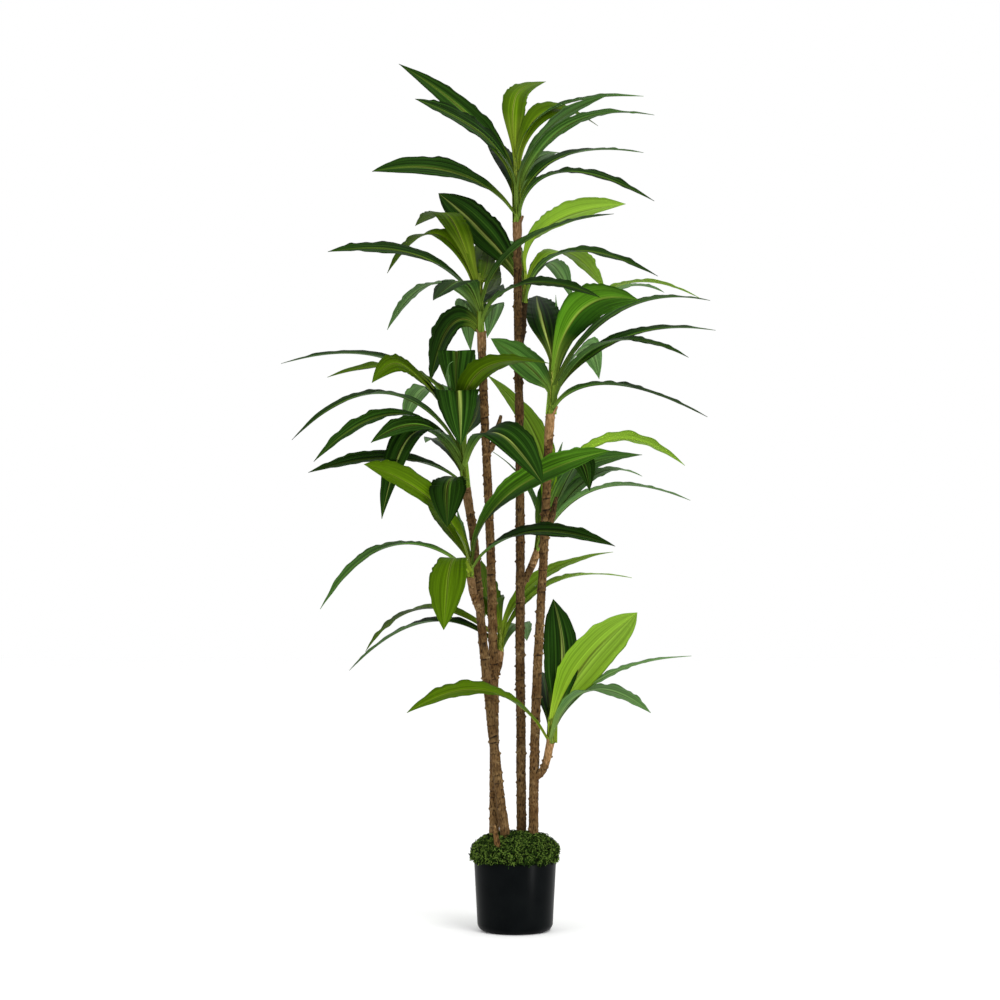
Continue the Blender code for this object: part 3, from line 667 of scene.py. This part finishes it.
def midrib(foot, base, leaf, crease):
    """The point that pulls the arching midrib, and its tip.

    The curve passes through the leaf's half-way point at u = 0.5. A crease is the weight of
    the pull: 1 gives an even arch, and more a sharper bend at that point.
    """
    half_right, half_up, tip_right, tip_up, length, lean = leaf[:WIDTH]
    half = foot + np.array([half_right, 0, half_up]) * CM
    tip = foot + np.array([tip_right, 0, tip_up]) * CM
    flat = np.linalg.norm(half - base) + np.linalg.norm(tip - half)
    depth = lean * math.sqrt(max((length * CM) ** 2 - flat**2, 0.0))
    tip = along_sight(tip, depth)
    half = along_sight(half, depth * HALF_WAY_DEPTH)
    return (half * (2 + 2 * crease) - base - tip) / (2 * crease), tip


def leaf_line(foot, base, leaf, crease):
    """The middle of a leaf from its stalk to its tip, and the ways out and up from it.

    The midrib is the curve (A(1 - u)^2 + 2wBu(1 - u) + Cu^2) / ((1 - u)^2 + 2wu(1 - u) + u^2).
    Below u = 0 it goes on as a stalk down the shoot, off its axis by the shoot's radius. Out
    is level and square to the line, up is square to both, and the roll turns the two.
    """
    pull, tip = midrib(foot, base, leaf, crease)
    u = LEAF_ROWS[:, None]
    t = np.clip(u, 0, 1)
    weights = (1 - t) ** 2, 2 * crease * t * (1 - t), t**2
    middle = (base * weights[0] + pull * weights[1] + tip * weights[2]) / sum(weights)
    level = unit((tip - base) * np.array([1, 1, 0]))
    down = np.clip(-u / STALK, 0, 1)
    lowness = 1 - np.linalg.norm(base - foot) / TALLEST_SHOOT
    off_axis = (OFF_AXIS + FOOT_OFF_AXIS * lowness * down) * (1 - smooth(u / LETS_GO_BY))
    middle = middle + (foot - base) * down + level * off_axis
    ahead = unit(np.gradient(middle, axis=0))
    across = np.array([-level[1], level[0], 0])
    across = -across if across[1] > 0 else across
    flat = unit(across - ahead * (ahead @ across)[:, None])
    up = np.cross(flat, ahead)
    up = up * np.sign(up[len(up) // 3, 2])
    roll = math.radians(leaf[ROLL])
    out = flat * math.cos(roll) - up * math.sin(roll)
    return middle, out, up * math.cos(roll) + flat * math.sin(roll)


print(len(LEAF_ROWS), "places along a leaf")

# %% Width of a leaf
LEAF_BASE_SHARE = 0.27
LEAF_WIDEST_AT = 0.52
LEAF_TAPER = 24 * MM
LEAF_TIP_WIDTH = 0.8 * MM


def leaf_width(u, widest, widest_at, power):
    """Width along a leaf: it swells by the square of a sine, then tapers by w(1 - v^p)."""
    rising = np.sin(math.pi / 2 * np.clip(u / widest_at, 0, 1)) ** 2
    swell = LEAF_BASE_SHARE + (1 - LEAF_BASE_SHARE) * rising
    taper = 1 - (np.clip(u - widest_at, 0, 1) / (1 - widest_at)) ** power
    return np.maximum(widest * np.where(u < widest_at, swell, taper), LEAF_TIP_WIDTH)


print("half-way a leaf has", leaf_width(0.5, 1, LEAF_WIDEST_AT, 2).round(2), "of its width")

# %% Blade of a leaf
LEAF_COLUMNS = np.array([0, 0.06, 0.13, 0.26, 0.44, 0.64, 0.84, 1.0])
FACE_POINTS = 2 * len(LEAF_COLUMNS) - 1
LEAF_THICKNESS = 0.8 * MM
MARGIN_THINS, MARGIN_SHARE = 0.2, 0.35
FOLD_AT_BASE, FOLD_AT_TIP = math.radians(38), math.radians(12)
FOLD_ROUNDING, MARGIN_DROOP = 0.1, 0.22
# How many ripples a leaf has and their share. They fade out at its foot and its tip.
RIPPLES = ((16, 0.8), (34, 0.6))
RIPPLE = 2.6 * MM
RIPPLE_FROM, RIPPLE_FULL, RIPPLE_END = 0.1, 0.5, 0.125
RIPPLE_FULL_HALF, WAVY_EDGE = 14 * MM, 0.08
MIDRIB_DEPTH, MIDRIB_WIDTH, MIDRIB_END = 0.7 * MM, 0.07, 0.05
# A creased leaf tapers less, and is pressed flat but for its foot.
CREASED_TAPER, CREASED_FLATNESS, CREASED_FLAT_BY = 1.7, 0.8, 0.4


def blade(foot, base, leaf, flip, seed):
    """Rings of one leaf and the places (across, along) of their points on its map.

    A point is p + out s h cos f + up (h V(s) sin f + ripple - midrib), where h is half the
    width, f the fold, and V(s) = sqrt(s^2 + r^2) - r - ds^2 a rounded V whose arms droop. A
    ring runs from the left margin to the right one on the upper face, then back below.
    """
    crease, widest_at = (*leaf[TONE + 1:], *(1.0, LEAF_WIDEST_AT)[len(leaf) - TONE - 1:])
    middle, out, up = (a[:, None] for a in leaf_line(foot, base, leaf, crease))
    s = np.concatenate([-LEAF_COLUMNS[::-1], LEAF_COLUMNS[1:]])
    u = LEAF_ROWS[:, None]
    t = np.clip(u, 0, 1)
    margin_row = np.where(s > 0, 0.75, 0.25)
    ripple = sum(share * noise(seed + number, (waves, 2), t, margin_row)
                 for number, (waves, share) in enumerate(RIPPLES))
    begun = smooth((t - RIPPLE_FROM) / (RIPPLE_FULL - RIPPLE_FROM))
    ripple = ripple * begun * np.minimum(1, (1 - t) / RIPPLE_END)
    fold = FOLD_AT_TIP + (FOLD_AT_BASE - FOLD_AT_TIP) * (1 - t) ** 2
    widest = leaf[WIDTH] * MM
    along, power = t, widest / LEAF_TAPER
    if crease > 1:
        power = CREASED_TAPER
        fold = fold * (1 - CREASED_FLATNESS * smooth(t / CREASED_FLAT_BY))
        run = distance_along(middle[:, 0])
        begin = run[LEAF_ROWS > 0][0]
        along = np.clip((run - begin) / (run[-1] - begin), 0, 1)[:, None]
    half = leaf_width(along, widest, widest_at, power) / 2
    half = half * (1 + WAVY_EDGE * ripple * np.abs(s) ** 4)
    bent = np.sqrt(s**2 + FOLD_ROUNDING**2) - FOLD_ROUNDING - MARGIN_DROOP * s**2
    rib = MIDRIB_DEPTH * np.exp(-((s / MIDRIB_WIDTH) ** 2)) * np.minimum(1, (1 - t) / MIDRIB_END)
    rise = RIPPLE * ripple * np.abs(s) ** 3 * np.minimum(1, half / RIPPLE_FULL_HALF)
    lift = bent * half * np.sin(fold) + rise - rib
    surface = middle + out * (s * half * np.cos(fold))[..., None] + up * lift[..., None]
    normal = up * np.cos(fold)[..., None] - out * (np.sign(s) * np.sin(fold))[..., None]
    margin = np.clip((1 - np.abs(s)) / MARGIN_THINS, MARGIN_SHARE, 1)[None, :, None]
    shell = unit(normal) * margin * LEAF_THICKNESS / 2
    ring = np.concatenate([surface + shell, (surface - shell)[:, ::-1]], axis=1)
    places = np.stack(np.broadcast_arrays((s + 1) / 2, (u + STALK) / (1 + STALK)), axis=-1)
    if flip:
        places[..., 0] = 1 - places[..., 0]
    return ring, np.concatenate([places, places[:, ::-1]], axis=1)


print(FACE_POINTS, "points across a leaf")

# %% [markdown]
# ## Printed leaves
#
# The print imitates a striped dracaena: dark green at the margins, one or two yellow-green
# bands beside an olive midrib, and fine veins along the whole leaf. Some leaves are in a fresh
# light green, partly their print and partly painted light that shines through the cloth, and
# the weave side of the cloth is duller and a little blue. One print is light on one half and
# dark on the other, as painted light and shade on the two halves of a folded leaf. So there
# are a few prints, each a ramp of colours across the leaf, and every leaf takes one.
# The cloth is coated, which leaves a soft gloss with a fine grooved touch.

# %% Colours of the prints
# Each print has its colours across the leaf, from one margin to the other, then its plain
# colour, which the stripes fade into towards the tip, the colour of its foot, and the grey
# that its fine veins are darkened by. They come in the order of the tones.
PRINTS = {
    "dark_print": ([
        (0.0, "#16290A"), (0.12, "#22400E"), (0.2, "#1B340B"), (0.3, "#274812"), (0.36, "#1D370C"),
        (0.41, "#2A4A13"), (0.43, "#6E8A30"), (0.445, "#33561A"), (0.47, "#5E7A24"), (0.482, "#8E9A40"),
        (0.492, "#3C3A10"), (0.51, "#38370E"), (0.52, "#8F9A44"), (0.535, "#3A5A18"), (0.56, "#527A24"),
        (0.585, "#64902E"), (0.6, "#28480F"), (0.7, "#1C360B"), (0.8, "#26460F"), (0.9, "#1B350B"),
        (1.0, "#15280A")],
        "#203B0D", "#8BA536", "#9C9C9C"),
    "dark_banded_print": ([
        (0.0, "#14260A"), (0.1, "#213E0F"), (0.15, "#2C4C16"), (0.18, "#1A340C"), (0.3, "#244411"),
        (0.35, "#3A5C1B"), (0.37, "#1C380D"), (0.46, "#1E3C0E"), (0.48, "#2A300C"), (0.51, "#2A300C"),
        (0.525, "#9DB04E"), (0.54, "#B4C468"), (0.6, "#A2B858"), (0.62, "#2A4C13"), (0.7, "#1D390E"),
        (0.76, "#305216"), (0.79, "#1C370D"), (0.9, "#22420F"), (1.0, "#132509")],
        "#1D370C", "#93A840", "#9C9C9C"),
    "mid_green_print": ([
        (0.0, "#344C06"), (0.2, "#3D5606"), (0.4, "#466107"), (0.46, "#536C0B"), (0.482, "#6E7E2D"),
        (0.492, "#32360C"), (0.51, "#2E310B"), (0.52, "#758434"), (0.545, "#466207"), (0.62, "#526F0B"),
        (0.66, "#3F5806"), (0.85, "#395106"), (1.0, "#314906")],
        "#3D5607", "#7D8C2C", "#CFCFCF"),
    # Partly a light green print, partly painted light that shines through the leaf.
    "light_green_print_and_painted_glow": ([
        (0.0, "#5B7B19"), (0.25, "#66871D"), (0.42, "#6F8E22"), (0.47, "#617C1A"), (0.488, "#4B5016"),
        (0.51, "#474B15"), (0.53, "#7B9933"), (0.7, "#6D8D25"), (0.85, "#62801B"), (1.0, "#597618")],
        "#6D8E2E", "#8CA032", "#D6D6D6"),
    "pale_print": ([
        (0.0, "#3F6228"), (0.16, "#527540"), (0.28, "#496C34"), (0.4, "#68894C"), (0.45, "#587A3C"),
        (0.485, "#3E4A1E"), (0.512, "#3A461C"), (0.54, "#76955A"), (0.64, "#52753A"), (0.8, "#587A43"),
        (1.0, "#3B5E28")],
        "#52743E", "#7A8E3A", "#C4C4C4"),
    "weave_side": ([
        (0.0, "#2A4716"), (0.16, "#3A5C24"), (0.28, "#2F4F1A"), (0.42, "#527A33"), (0.485, "#3A4218"),
        (0.512, "#363E15"), (0.56, "#5A8038"), (0.7, "#345420"), (0.85, "#3E6028"), (1.0, "#294516")],
        "#385A22", "#84A03A", "#B8B8B8"),
    # Painted light and shade: one half of the leaf is coloured lit, the other half shaded.
    "half_lit_half_painted_shade_print": ([
        (0.0, "#3E6C14"), (0.2, "#50801A"), (0.35, "#4A7816"), (0.43, "#56841C"), (0.47, "#7C9C34"),
        (0.5, "#98B44A"), (0.52, "#7A8C30"), (0.53, "#3A4010"), (0.55, "#2A5010"), (0.6, "#1C3C0B"),
        (0.66, "#1A380A"), (0.77, "#22460E"), (0.87, "#18350A"), (1.0, "#142C09")],
        "#3E6818", "#86A23A", "#B4B4B4"),
}
# The print below each tone: dark leaves show the weave there, the others their own green.
LOWER_PRINT = np.array([UNDER, UNDER, MID, BRIGHT, PALE, UNDER, HALF])
print(*PRINTS)

# %% Coated, printed polyester
# Veins are counted across a leaf. On one 55 mm wide they are 1.6 mm and 5 mm apart.
VEINS_ACROSS = (34.0, 11.0)
SWAY = 0.05
OWN_PLACE = 40.0


def leaf_print(name, across_stops, plain, foot_colour, vein_grey):
    """Printed cloth: stripes across, fading to the tip and the foot, over fine veins.

    The coating is satin, and it mirrors little, because the weave breaks it up. Each leaf has
    a random tint, which makes it a little lighter and moves its pattern to another place.
    """
    material, tree, shader = new_material(name, 0.42, 1.06)
    cloth = add(tree, "UVMap", uv_map="blade")
    tint = add(tree, "Attribute", out="Fac", attribute_name="tint")
    across, along = add(tree, "SeparateXYZ", {0: cloth}).node.outputs[:2]
    own = add(tree, "Math", {0: tint, 1: OWN_PLACE}, operation="MULTIPLY")
    shifted = add(tree, "CombineXYZ", {"X": across, "Y": along, "Z": own})
    wander = add(tree, "TexNoise", {"Vector": shifted, "Scale": 3.0, "Detail": 1.0})
    sway = add(tree, "MapRange", {"Value": wander, "To Min": -SWAY, "To Max": SWAY})
    swayed = add(tree, "Math", {0: across, 1: sway}, operation="ADD")
    printed = add(tree, "ValToRGB", {0: swayed}, stops=across_stops)
    outer = {"From Min": 0.4, "From Max": 0.92, "To Max": 0.7}
    near_foot = {"From Min": 0.08, "From Max": 0.36, "To Min": 0.64, "To Max": 0.0}
    for colour, reach in ((plain, outer), (foot_colour, near_foot)):
        share = add(tree, "MapRange", {"Value": along, **reach})
        printed = add(tree, "Mix", {MIX_FACTOR: share, MIX_A: printed, MIX_B: linear(colour)},
                      out=MIX_RESULT, data_type="RGBA")
    for count in VEINS_ACROSS:
        size = add(tree, "Mapping", {"Vector": shifted, "Scale": (count, 1.2, 1.0)})
        veins = add(tree, "TexNoise", {"Vector": size, "Scale": 1.0, "Detail": 2.0})
        shade = add(tree, "ValToRGB", {0: veins}, stops=[(0.36, vein_grey), (0.62, "#FFFFFF")])
        printed = add(tree, "Mix", {MIX_FACTOR: 1.0, MIX_A: printed, MIX_B: shade},
                      out=MIX_RESULT, data_type="RGBA", blend_type="MULTIPLY")
    light = add(tree, "MapRange", {"Value": tint, "To Min": 1.3, "To Max": 1.85})
    feed(shader, {
        "Base Color": add(tree, "HueSaturation", {"Color": printed, "Value": light}),
        "Normal": add(tree, "Bump", {"Height": veins, "Strength": 0.12, "Distance": 0.15 * MM}),
    })
    return material


prints = [leaf_print(name, *colours) for name, colours in PRINTS.items()]
print(len(prints), "prints")

# %% [markdown]
# ## Cores
#
# Between the leaves a short green shoot shows: the feet of the leaves, wrapped round each
# other. It is the core of the solids with a saw-tooth relief, a step for each leaf's sheath,
# tilted so that each step climbs to one side.

# %% Sheathed core
CORE_TIP_RADIUS, CORE_STRAIGHT, CORE_GAP = 3.6 * MM, 8 * MM, 0.3 * MM
CORE_ROWS, CORE_AROUND = 60, 24
CORE_NARROW_BY = 1 / 3
CORE_END_FROM, CORE_END_CUT = 0.6, 0.6
SHEATH_STEP, SHEATH_HEIGHT = 11 * MM, 1.3 * MM
SHEATH_TILT, SHEATH_TWIST, SHEATH_SUNK = 0.5, 2.4, 0.4
# The leaves' feet are the same cloth, dull satin, with lines in greens and pale yellow.
sheath = grained_material("sheath_print", 0.5, 1.2, 1.8 * MM, 2.0, 0.12, [
    (0.3, "#2F4210"), (0.5, "#66791F"), (0.6, "#8E9A33"), (0.72, "#B8B364")])[0]


def core_rings(foot, heading, reach, radius):
    """A tube on the quadratic curve foot, straight on, tip, with saw-tooth sheaths round it."""
    u = np.linspace(0, 1, CORE_ROWS)[:, None]
    straight = foot + heading * CORE_STRAIGHT
    line = foot * (1 - u) ** 2 + straight * (2 * u * (1 - u)) + (foot + reach) * u**2
    angles = full_turn(CORE_AROUND)
    steps = u * np.linalg.norm(reach) / SHEATH_STEP
    saw = (steps + SHEATH_TILT * np.cos(angles + SHEATH_TWIST * steps)) % 1.0
    taper = radius + (CORE_TIP_RADIUS - radius) * np.minimum(1, u / CORE_NARROW_BY)
    taper = taper * (1 - CORE_END_CUT * smooth((u - CORE_END_FROM) / (1 - CORE_END_FROM)))
    return rings_along(line, taper + SHEATH_HEIGHT * (saw - SHEATH_SUNK), angles)


print("a sheath every", round(SHEATH_STEP / MM), "mm")

# %% Grow the crowns
FIRST_LEAF_AT, LAST_LEAF_AT = 0.04, 0.88
# On every third leaf, counted by its seed, the print is the other way round, and on this one,
# so that its painted shade falls on its lower half.
FLIPPED = "crown_right", 8
FLIP_EVERY = 3
TINT_SEED, CROWN_SEEDS, LEAF_SEEDS = 500, 1000, 7
for order, (name, (limb, reach, rows)) in enumerate(CROWNS.items()):
    line, run, radius = ends[limb]
    reach = np.array(reach) * CM
    heading = unit(line[-1] - line[-2])
    foot = line[-1] + heading * CORE_GAP
    blades = []
    for number, leaf in enumerate(rows):
        share = np.linspace(FIRST_LEAF_AT, LAST_LEAF_AT, len(rows))[number]
        seed = CROWN_SEEDS * order + LEAF_SEEDS * number
        flip = (name, number) == FLIPPED or seed % FLIP_EVERY == 0
        blades.append(blade(foot, foot + reach * share, leaf, flip, seed))
    rings, places = (np.stack(parts) for parts in zip(*blades))
    tones = np.array([leaf[TONE] for leaf in rows])
    faces = np.repeat(np.stack([tones, LOWER_PRINT[tones]], axis=1), FACE_POINTS, axis=1)
    tint = np.random.default_rng(TINT_SEED + order).uniform(0, 1, len(rows))
    add_piece(name.replace("crown", "leaves"), rings, prints, [name],
              uv=places, values={"tint": tint[:, None, None]}, finish=faces[:, None])
    add_piece(name.replace("crown", "core"), core_rings(foot, heading, reach, radius)[None],
              [sheath], [name])

# %% [markdown]
# ## Sleeves
#
# Where a crown is pushed on to its limb, a thin papery sleeve hides the joint. It is tan
# and smooth, its upper edge is torn, and on some a tongue stands out from it. It is
# a closed wall: up the outside, over the torn edge and down the inside.

# %% Papery sleeves
# Each sleeve has its length and the length of its tongue in mm, the way that the tongue
# points, in radians from the right, and how light it is.
SLEEVES = {
    "stem_middle": (34, 11, -0.5, 0.66),
    "stem_left": (36, 6, 3.4, 1.0),
    "stem_right": (58, 14, -0.4, 1.0),
    "stem_front_left": (46, 6, 2.8, 0.6),
    "bough_left_low": (42, 6, 3.0, 0.55),
    "bough_right_back": (34, 6, 0.5, 1.05),
    "bough_back_low": (20, 5, 1.2, 0.9),
    "bough_right_low": (40, 11, -2.6, 1.05),
}
SLEEVE_ROWS, SLEEVE_AROUND = 26, 48
SLEEVE_WALL, SLEEVE_STANDS_OFF, SLEEVE_ABOVE_TIP = 0.5 * MM, 1.5 * MM, 1.5 * MM
SLEEVE_OPENS, SLEEVE_FOOT_CLOSES = 0.35, 0.9 * MM
TONGUE_WIDTH = 0.6
TEAR, TEAR_CELLS = 2.0 * MM, (1, 9)
WRINKLE, WRINKLE_CELLS = 0.35 * MM, (6, 7)
PAST_THE_TIP = 30 * MM


def sleeve_rings(line, run, tip_radius, size, seed):
    """Rings of a sleeve, up its outside and down its inside: p + (r - wall) outward.

    Its top is noise with a tongue exp(-(a / w)^4). Its radius is wider above the limb's tip
    and narrower at its foot, with wrinkles.
    """
    length, tongue, turn = size
    angles = full_turn(SLEEVE_AROUND)
    v = angles / (2 * math.pi)
    share = np.linspace(0, 1, SLEEVE_ROWS)[:, None]
    tongue = tongue * MM * np.exp(-((either_way(angles - turn) / TONGUE_WIDTH) ** 4))
    top = run[-1] + SLEEVE_ABOVE_TIP + TEAR * noise(seed, TEAR_CELLS, 0 * v, v) + tongue
    low = run[-1] - length * MM
    height = low + (top - low) * share
    wrinkle = WRINKLE * noise(seed + 20, WRINKLE_CELLS, *np.broadcast_arrays(share, v))
    radius = tip_radius + SLEEVE_STANDS_OFF + wrinkle
    radius = radius + SLEEVE_OPENS * np.clip(height - run[-1], 0, None)
    radius = radius - SLEEVE_FOOT_CLOSES * (1 - share) ** 4
    longer = np.vstack([line, line[-1] + unit(line[-1] - line[-2]) * PAST_THE_TIP])
    reach = np.append(run, run[-1] + PAST_THE_TIP)
    middle = read_off(height, reach, longer)
    away = outward(read_off(height, reach, unit(np.gradient(longer, axis=0))), angles)
    outside, inside = (middle + away * (radius - wall)[..., None] for wall in (0.0, SLEEVE_WALL))
    return np.concatenate([outside, inside[::-1]])


# Stained crepe paper is dull, with fibres that run up it and creases that catch the light.
paper, tree, shader, fibres, tone = grained_material(
    "tan_brown_sleeve", 0.7, 1.2, 2.5 * MM, 4.0, 0.3,
    [(0.28, "#5C4526"), (0.5, "#866640"), (0.72, "#AA8760")])
lightness_factor = add(tree, "Attribute", out="Fac", attribute_name="lightness")
feed(shader, {
    "Base Color": add(tree, "HueSaturation", {"Color": tone, "Value": lightness_factor}),
    "Normal": add(tree, "Bump", {"Height": fibres, "Strength": 0.4, "Distance": 0.4 * MM}),
})

for order, (name, (*size, lightness)) in enumerate(SLEEVES.items()):
    rings = sleeve_rings(*ends[name], size, 700 + order)
    add_piece("sleeve_on_" + name, rings[None], [paper], [], joined=True,
              values={"lightness": lightness})

# %% [markdown]
# ## Moss
#
# The cap is preserved moss that is dyed green: a springy cushion of curls a few millimetres
# wide. A lumpy dome, coloured almost black as painted shade between the curls, gives the dark
# ground, and thousands of small curls stand on it. Each curl is an arc of half a turn or more
# with a thin square section. Their colour has no place, so each is dealt one of three plain
# greens: a mid green, a lighter one that is partly painted highlight and a near-black one
# that is partly painted shade.

# %% Ground of the moss
MOSS_TOP = 181 * MM
MOSS_WIDEST_RADIUS = 81 * MM
MOSS_WIDEST_HEIGHT = 146 * MM
MOSS_SHOULDER_POWER = 0.7
# The hem hangs over the pot's rim, and the underside goes back into the pot.
MOSS_HEM = [(MOSS_WIDEST_RADIUS - 0.6 * MM, MOSS_WIDEST_HEIGHT - 10 * MM),
            (POT_TOP_RADIUS + 2 * MM, POT_HEIGHT - 5 * MM)]
MOSS_UNDERSIDE = np.array([(POT_TOP_RADIUS - 4 * MM, POT_HEIGHT - 4 * MM),
                           (2 * AXIS_HOLE, POT_HEIGHT - 10 * MM)])
MOSS_FROM, MOSS_STEPS = 88, 60
MOSS_ROWS, MOSS_AROUND = 90, 150
MOSS_INSET = 3.8 * MM
# Seed and height of lumps, and how many there are down the moss and round it.
MOSS_LUMPS = ((801, 3.0 * MM, (9, 40)), (802, 1.8 * MM, (20, 90)))


def moss_line():
    """Evenly spaced points (radius, height) from the top of the dome down to its hem.

    The dome is (w cos^p a, h + t sin a), whose shoulder is rounder than an ellipse's.
    """
    angle = np.radians(np.linspace(MOSS_FROM, 0, MOSS_STEPS))
    radius = MOSS_WIDEST_RADIUS * np.cos(angle) ** MOSS_SHOULDER_POWER
    height = MOSS_WIDEST_HEIGHT + (MOSS_TOP - MOSS_WIDEST_HEIGHT) * np.sin(angle)
    points = np.concatenate([np.stack([radius, height], axis=1), MOSS_HEM])
    run = distance_along(points)
    return read_off(moss_share * run[-1], run, points)


def moss_swell(u, v):
    """How far the ground stands off the line, at places u down it and v round it: noise."""
    return sum(lump * noise(seed, cells, u, v) for seed, lump, cells in MOSS_LUMPS) - MOSS_INSET


# The ground is matt and almost black: painted shade between the curls.
moss_shade_ground = grained_material("moss_ground_painted_shade", 0.95, 1.1, 3 * MM, 4.0, 1.0, [
    (0.35, "#050A02"), (0.7, "#0C1405")])[0]
moss_share = np.linspace(0, 1, MOSS_ROWS)
moss = moss_line()
ahead = unit(np.gradient(moss, axis=0))
moss_away = np.stack([-ahead[:, 1], ahead[:, 0]], axis=1)
u, v = np.meshgrid(moss_share, np.arange(MOSS_AROUND) / MOSS_AROUND, indexing="ij")
ground = moss[:, None] + moss_away[:, None] * moss_swell(u, v)[..., None]
under = np.repeat(MOSS_UNDERSIDE[:, None], MOSS_AROUND, axis=1)
radius, height = np.moveaxis(np.concatenate([ground, under]), -1, 0)
add_piece("moss_ground", turned(radius, height, MOSS_AROUND), [moss_shade_ground], ["moss"])

# %% Curls of moss
CURLS = 4600
CURL_ROWS = 5
CURLS_FROM = POT_HEIGHT + 1 * MM
CURL_SUNK = 0.4 * MM
# Least and most of a curl's radius in mm, its sweep in radians, and its thickness in mm.
CURL_RADIUS, CURL_SWEEP, CURL_THICKNESS = (1.8, 3.5), (2.2, 4.6), (0.55, 0.95)
CURL_RISE, CURL_RISE_ANGLE, CURL_LEAN, CURL_TIP = 1.82, 0.62, 0.5, 0.45
# Dyed strands are matt, in three greens, each with its share of the curls: a mid green, a
# lighter one that is partly painted highlight and a near-black one that is partly painted shade.
CURL_GREENS_AND_SHADES = {"moss_light_and_highlight": ("#5F7830", 0.3), "moss_mid": ("#243A0E", 0.4),
               "moss_deep_and_shade": ("#071002", 0.3)}
greens = []
for name, (colour, share) in CURL_GREENS_AND_SHADES.items():
    material, tree, shader = new_material(name, 0.85, 1.15)
    feed(shader, {"Base Color": linear(colour)})
    greens.append(material)


def curls(seed):
    """Rings of curls that stand on the moss, and the green of each.

    Equal areas of the dome get equal numbers. The middle of a curl is
    p + r (k n sin(ja) + t (1 - cos a)), with n off the surface, leaned a little, and t along it.
    """
    rng = np.random.default_rng(seed)
    band = (moss[1:, 0] + moss[:-1, 0]) / 2 * (moss[1:, 1] > CURLS_FROM)
    area = np.concatenate([[0.0], np.cumsum(band)])
    u = np.interp(rng.random(CURLS) * area[-1], area, moss_share)
    v = rng.random(CURLS)
    off = unit(read_off(u, moss_share, moss_away))
    at = read_off(u, moss_share, moss) + off * (moss_swell(u, v) - CURL_SUNK)[:, None]
    about = np.stack([np.cos(2 * math.pi * v), np.sin(2 * math.pi * v), 0 * v], axis=1)
    root, n = (about * flat[:, :1] + np.array([0, 0, 1.0]) * flat[:, 1:] for flat in (at, off))
    t = unit(np.cross(n, unit(rng.normal(size=(CURLS, 3)))))
    lean = unit(n + CURL_LEAN * t * rng.normal(size=(CURLS, 1)))
    size = rng.uniform(*CURL_RADIUS, CURLS)[:, None, None] * MM
    a = (np.linspace(0, 1, CURL_ROWS) * rng.uniform(*CURL_SWEEP, CURLS)[:, None])[..., None]
    up, over = CURL_RISE * np.sin(a * CURL_RISE_ANGLE), 1 - np.cos(a)
    middle = root[:, None] + size * (lean[:, None] * up + t[:, None] * over)
    ahead = unit(np.gradient(middle, axis=1))
    side = unit(np.cross(ahead, np.cross(n, t)[:, None] + 0.01))
    deep = np.cross(ahead, side)
    thick = rng.uniform(*CURL_THICKNESS, CURLS)[:, None] * np.linspace(1, CURL_TIP, CURL_ROWS) * MM
    corner = full_turn(4)[:, None]
    square = side[:, :, None] * np.cos(corner) + deep[:, :, None] * np.sin(corner)
    shares = [share for colour, share in CURL_GREENS_AND_SHADES.values()]
    return middle[:, :, None] + thick[..., None, None] * square, rng.choice(3, CURLS, p=shares)


for seed, name in ((901, "moss_curls"), (902, "moss_curls_more")):
    rings, green = curls(seed)
    add_piece(name, rings, greens, ["moss"], finish=green[:, None, None])

# %% [markdown]
# ## Floor, light and camera
#
# The plant was photographed alone on white, from a good distance and level with the middle
# of its height. A long lens at that distance keeps the crowns' sizes true. Two soft lights
# in front and a bright surrounding leave hardly any shadow, and a narrow one beside the pot
# gives its black plastic a grey band.

# %% Floor and surroundings
# Matt white card mirrors nothing and runs into the white round it.
FLOOR_HALF = 9.0
white, tree, shader = new_material("white_floor", 0.9, 1.1)
feed(shader, {"Base Color": linear("#FEFEFE")})
floor_mesh = bpy.data.meshes.new("floor")
around = ((-1, -1), (1, -1), (1, 1), (-1, 1))
floor_mesh.from_pydata([(FLOOR_HALF * x, FLOOR_HALF * y, 0) for x, y in around], [], [range(4)])
floor_mesh.materials.append(white)
floor = bpy.data.objects.new("floor", floor_mesh)
bpy.context.scene.collection.objects.link(floor)

world = bpy.data.worlds.new("white_room")
world.use_nodes = True
feed(world.node_tree.nodes["Background"], {"Color": (1, 1, 1, 1), "Strength": 1.0})
bpy.context.scene.world = world
print("a white room with a", floor.name)

# %% Lights
# Place of each soft box, the point it is turned to, its width and height, and its watts.
LIGHTS = {
    "key_light": ((1.4, -2.4, 3.2), (0, 0, 0.8), (1.6, 1.6), 57),
    "fill_light": ((-2.6, -2.2, 1.9), (0, 0, 0.8), (1.6, 1.6), 20),
    "strip_light": ((1.7, -1.5, 0.24), (0, 0, 0.12), (0.24, 0.44), 13),
}
for name, (place, aim, size, power) in LIGHTS.items():
    light = bpy.data.lights.new(name, "AREA")
    light.shape = "RECTANGLE"
    light.size, light.size_y = size
    light.energy = power
    box = bpy.data.objects.new(name, light)
    box.location = place
    ahead = unit(np.array(aim) - np.array(place))
    box.rotation_euler = (math.acos(-ahead[2]), 0, math.atan2(-ahead[0], ahead[1]))
    bpy.context.scene.collection.objects.link(box)
print(len(LIGHTS), "lights")

# %% Camera
VIEW_WIDTH = 1.85
SENSOR_WIDTH = 36
camera_data = bpy.data.cameras.new("camera")
camera_data.sensor_width = SENSOR_WIDTH
camera_data.lens = SENSOR_WIDTH * -EYE[1] / VIEW_WIDTH
camera = bpy.data.objects.new("camera", camera_data)
camera.location = EYE
camera.rotation_euler = (math.pi / 2, 0, 0)
bpy.context.scene.collection.objects.link(camera)
bpy.context.scene.camera = camera
bpy.context.scene.view_settings.view_transform = "Standard"
print("a lens of", round(camera_data.lens), "mm")
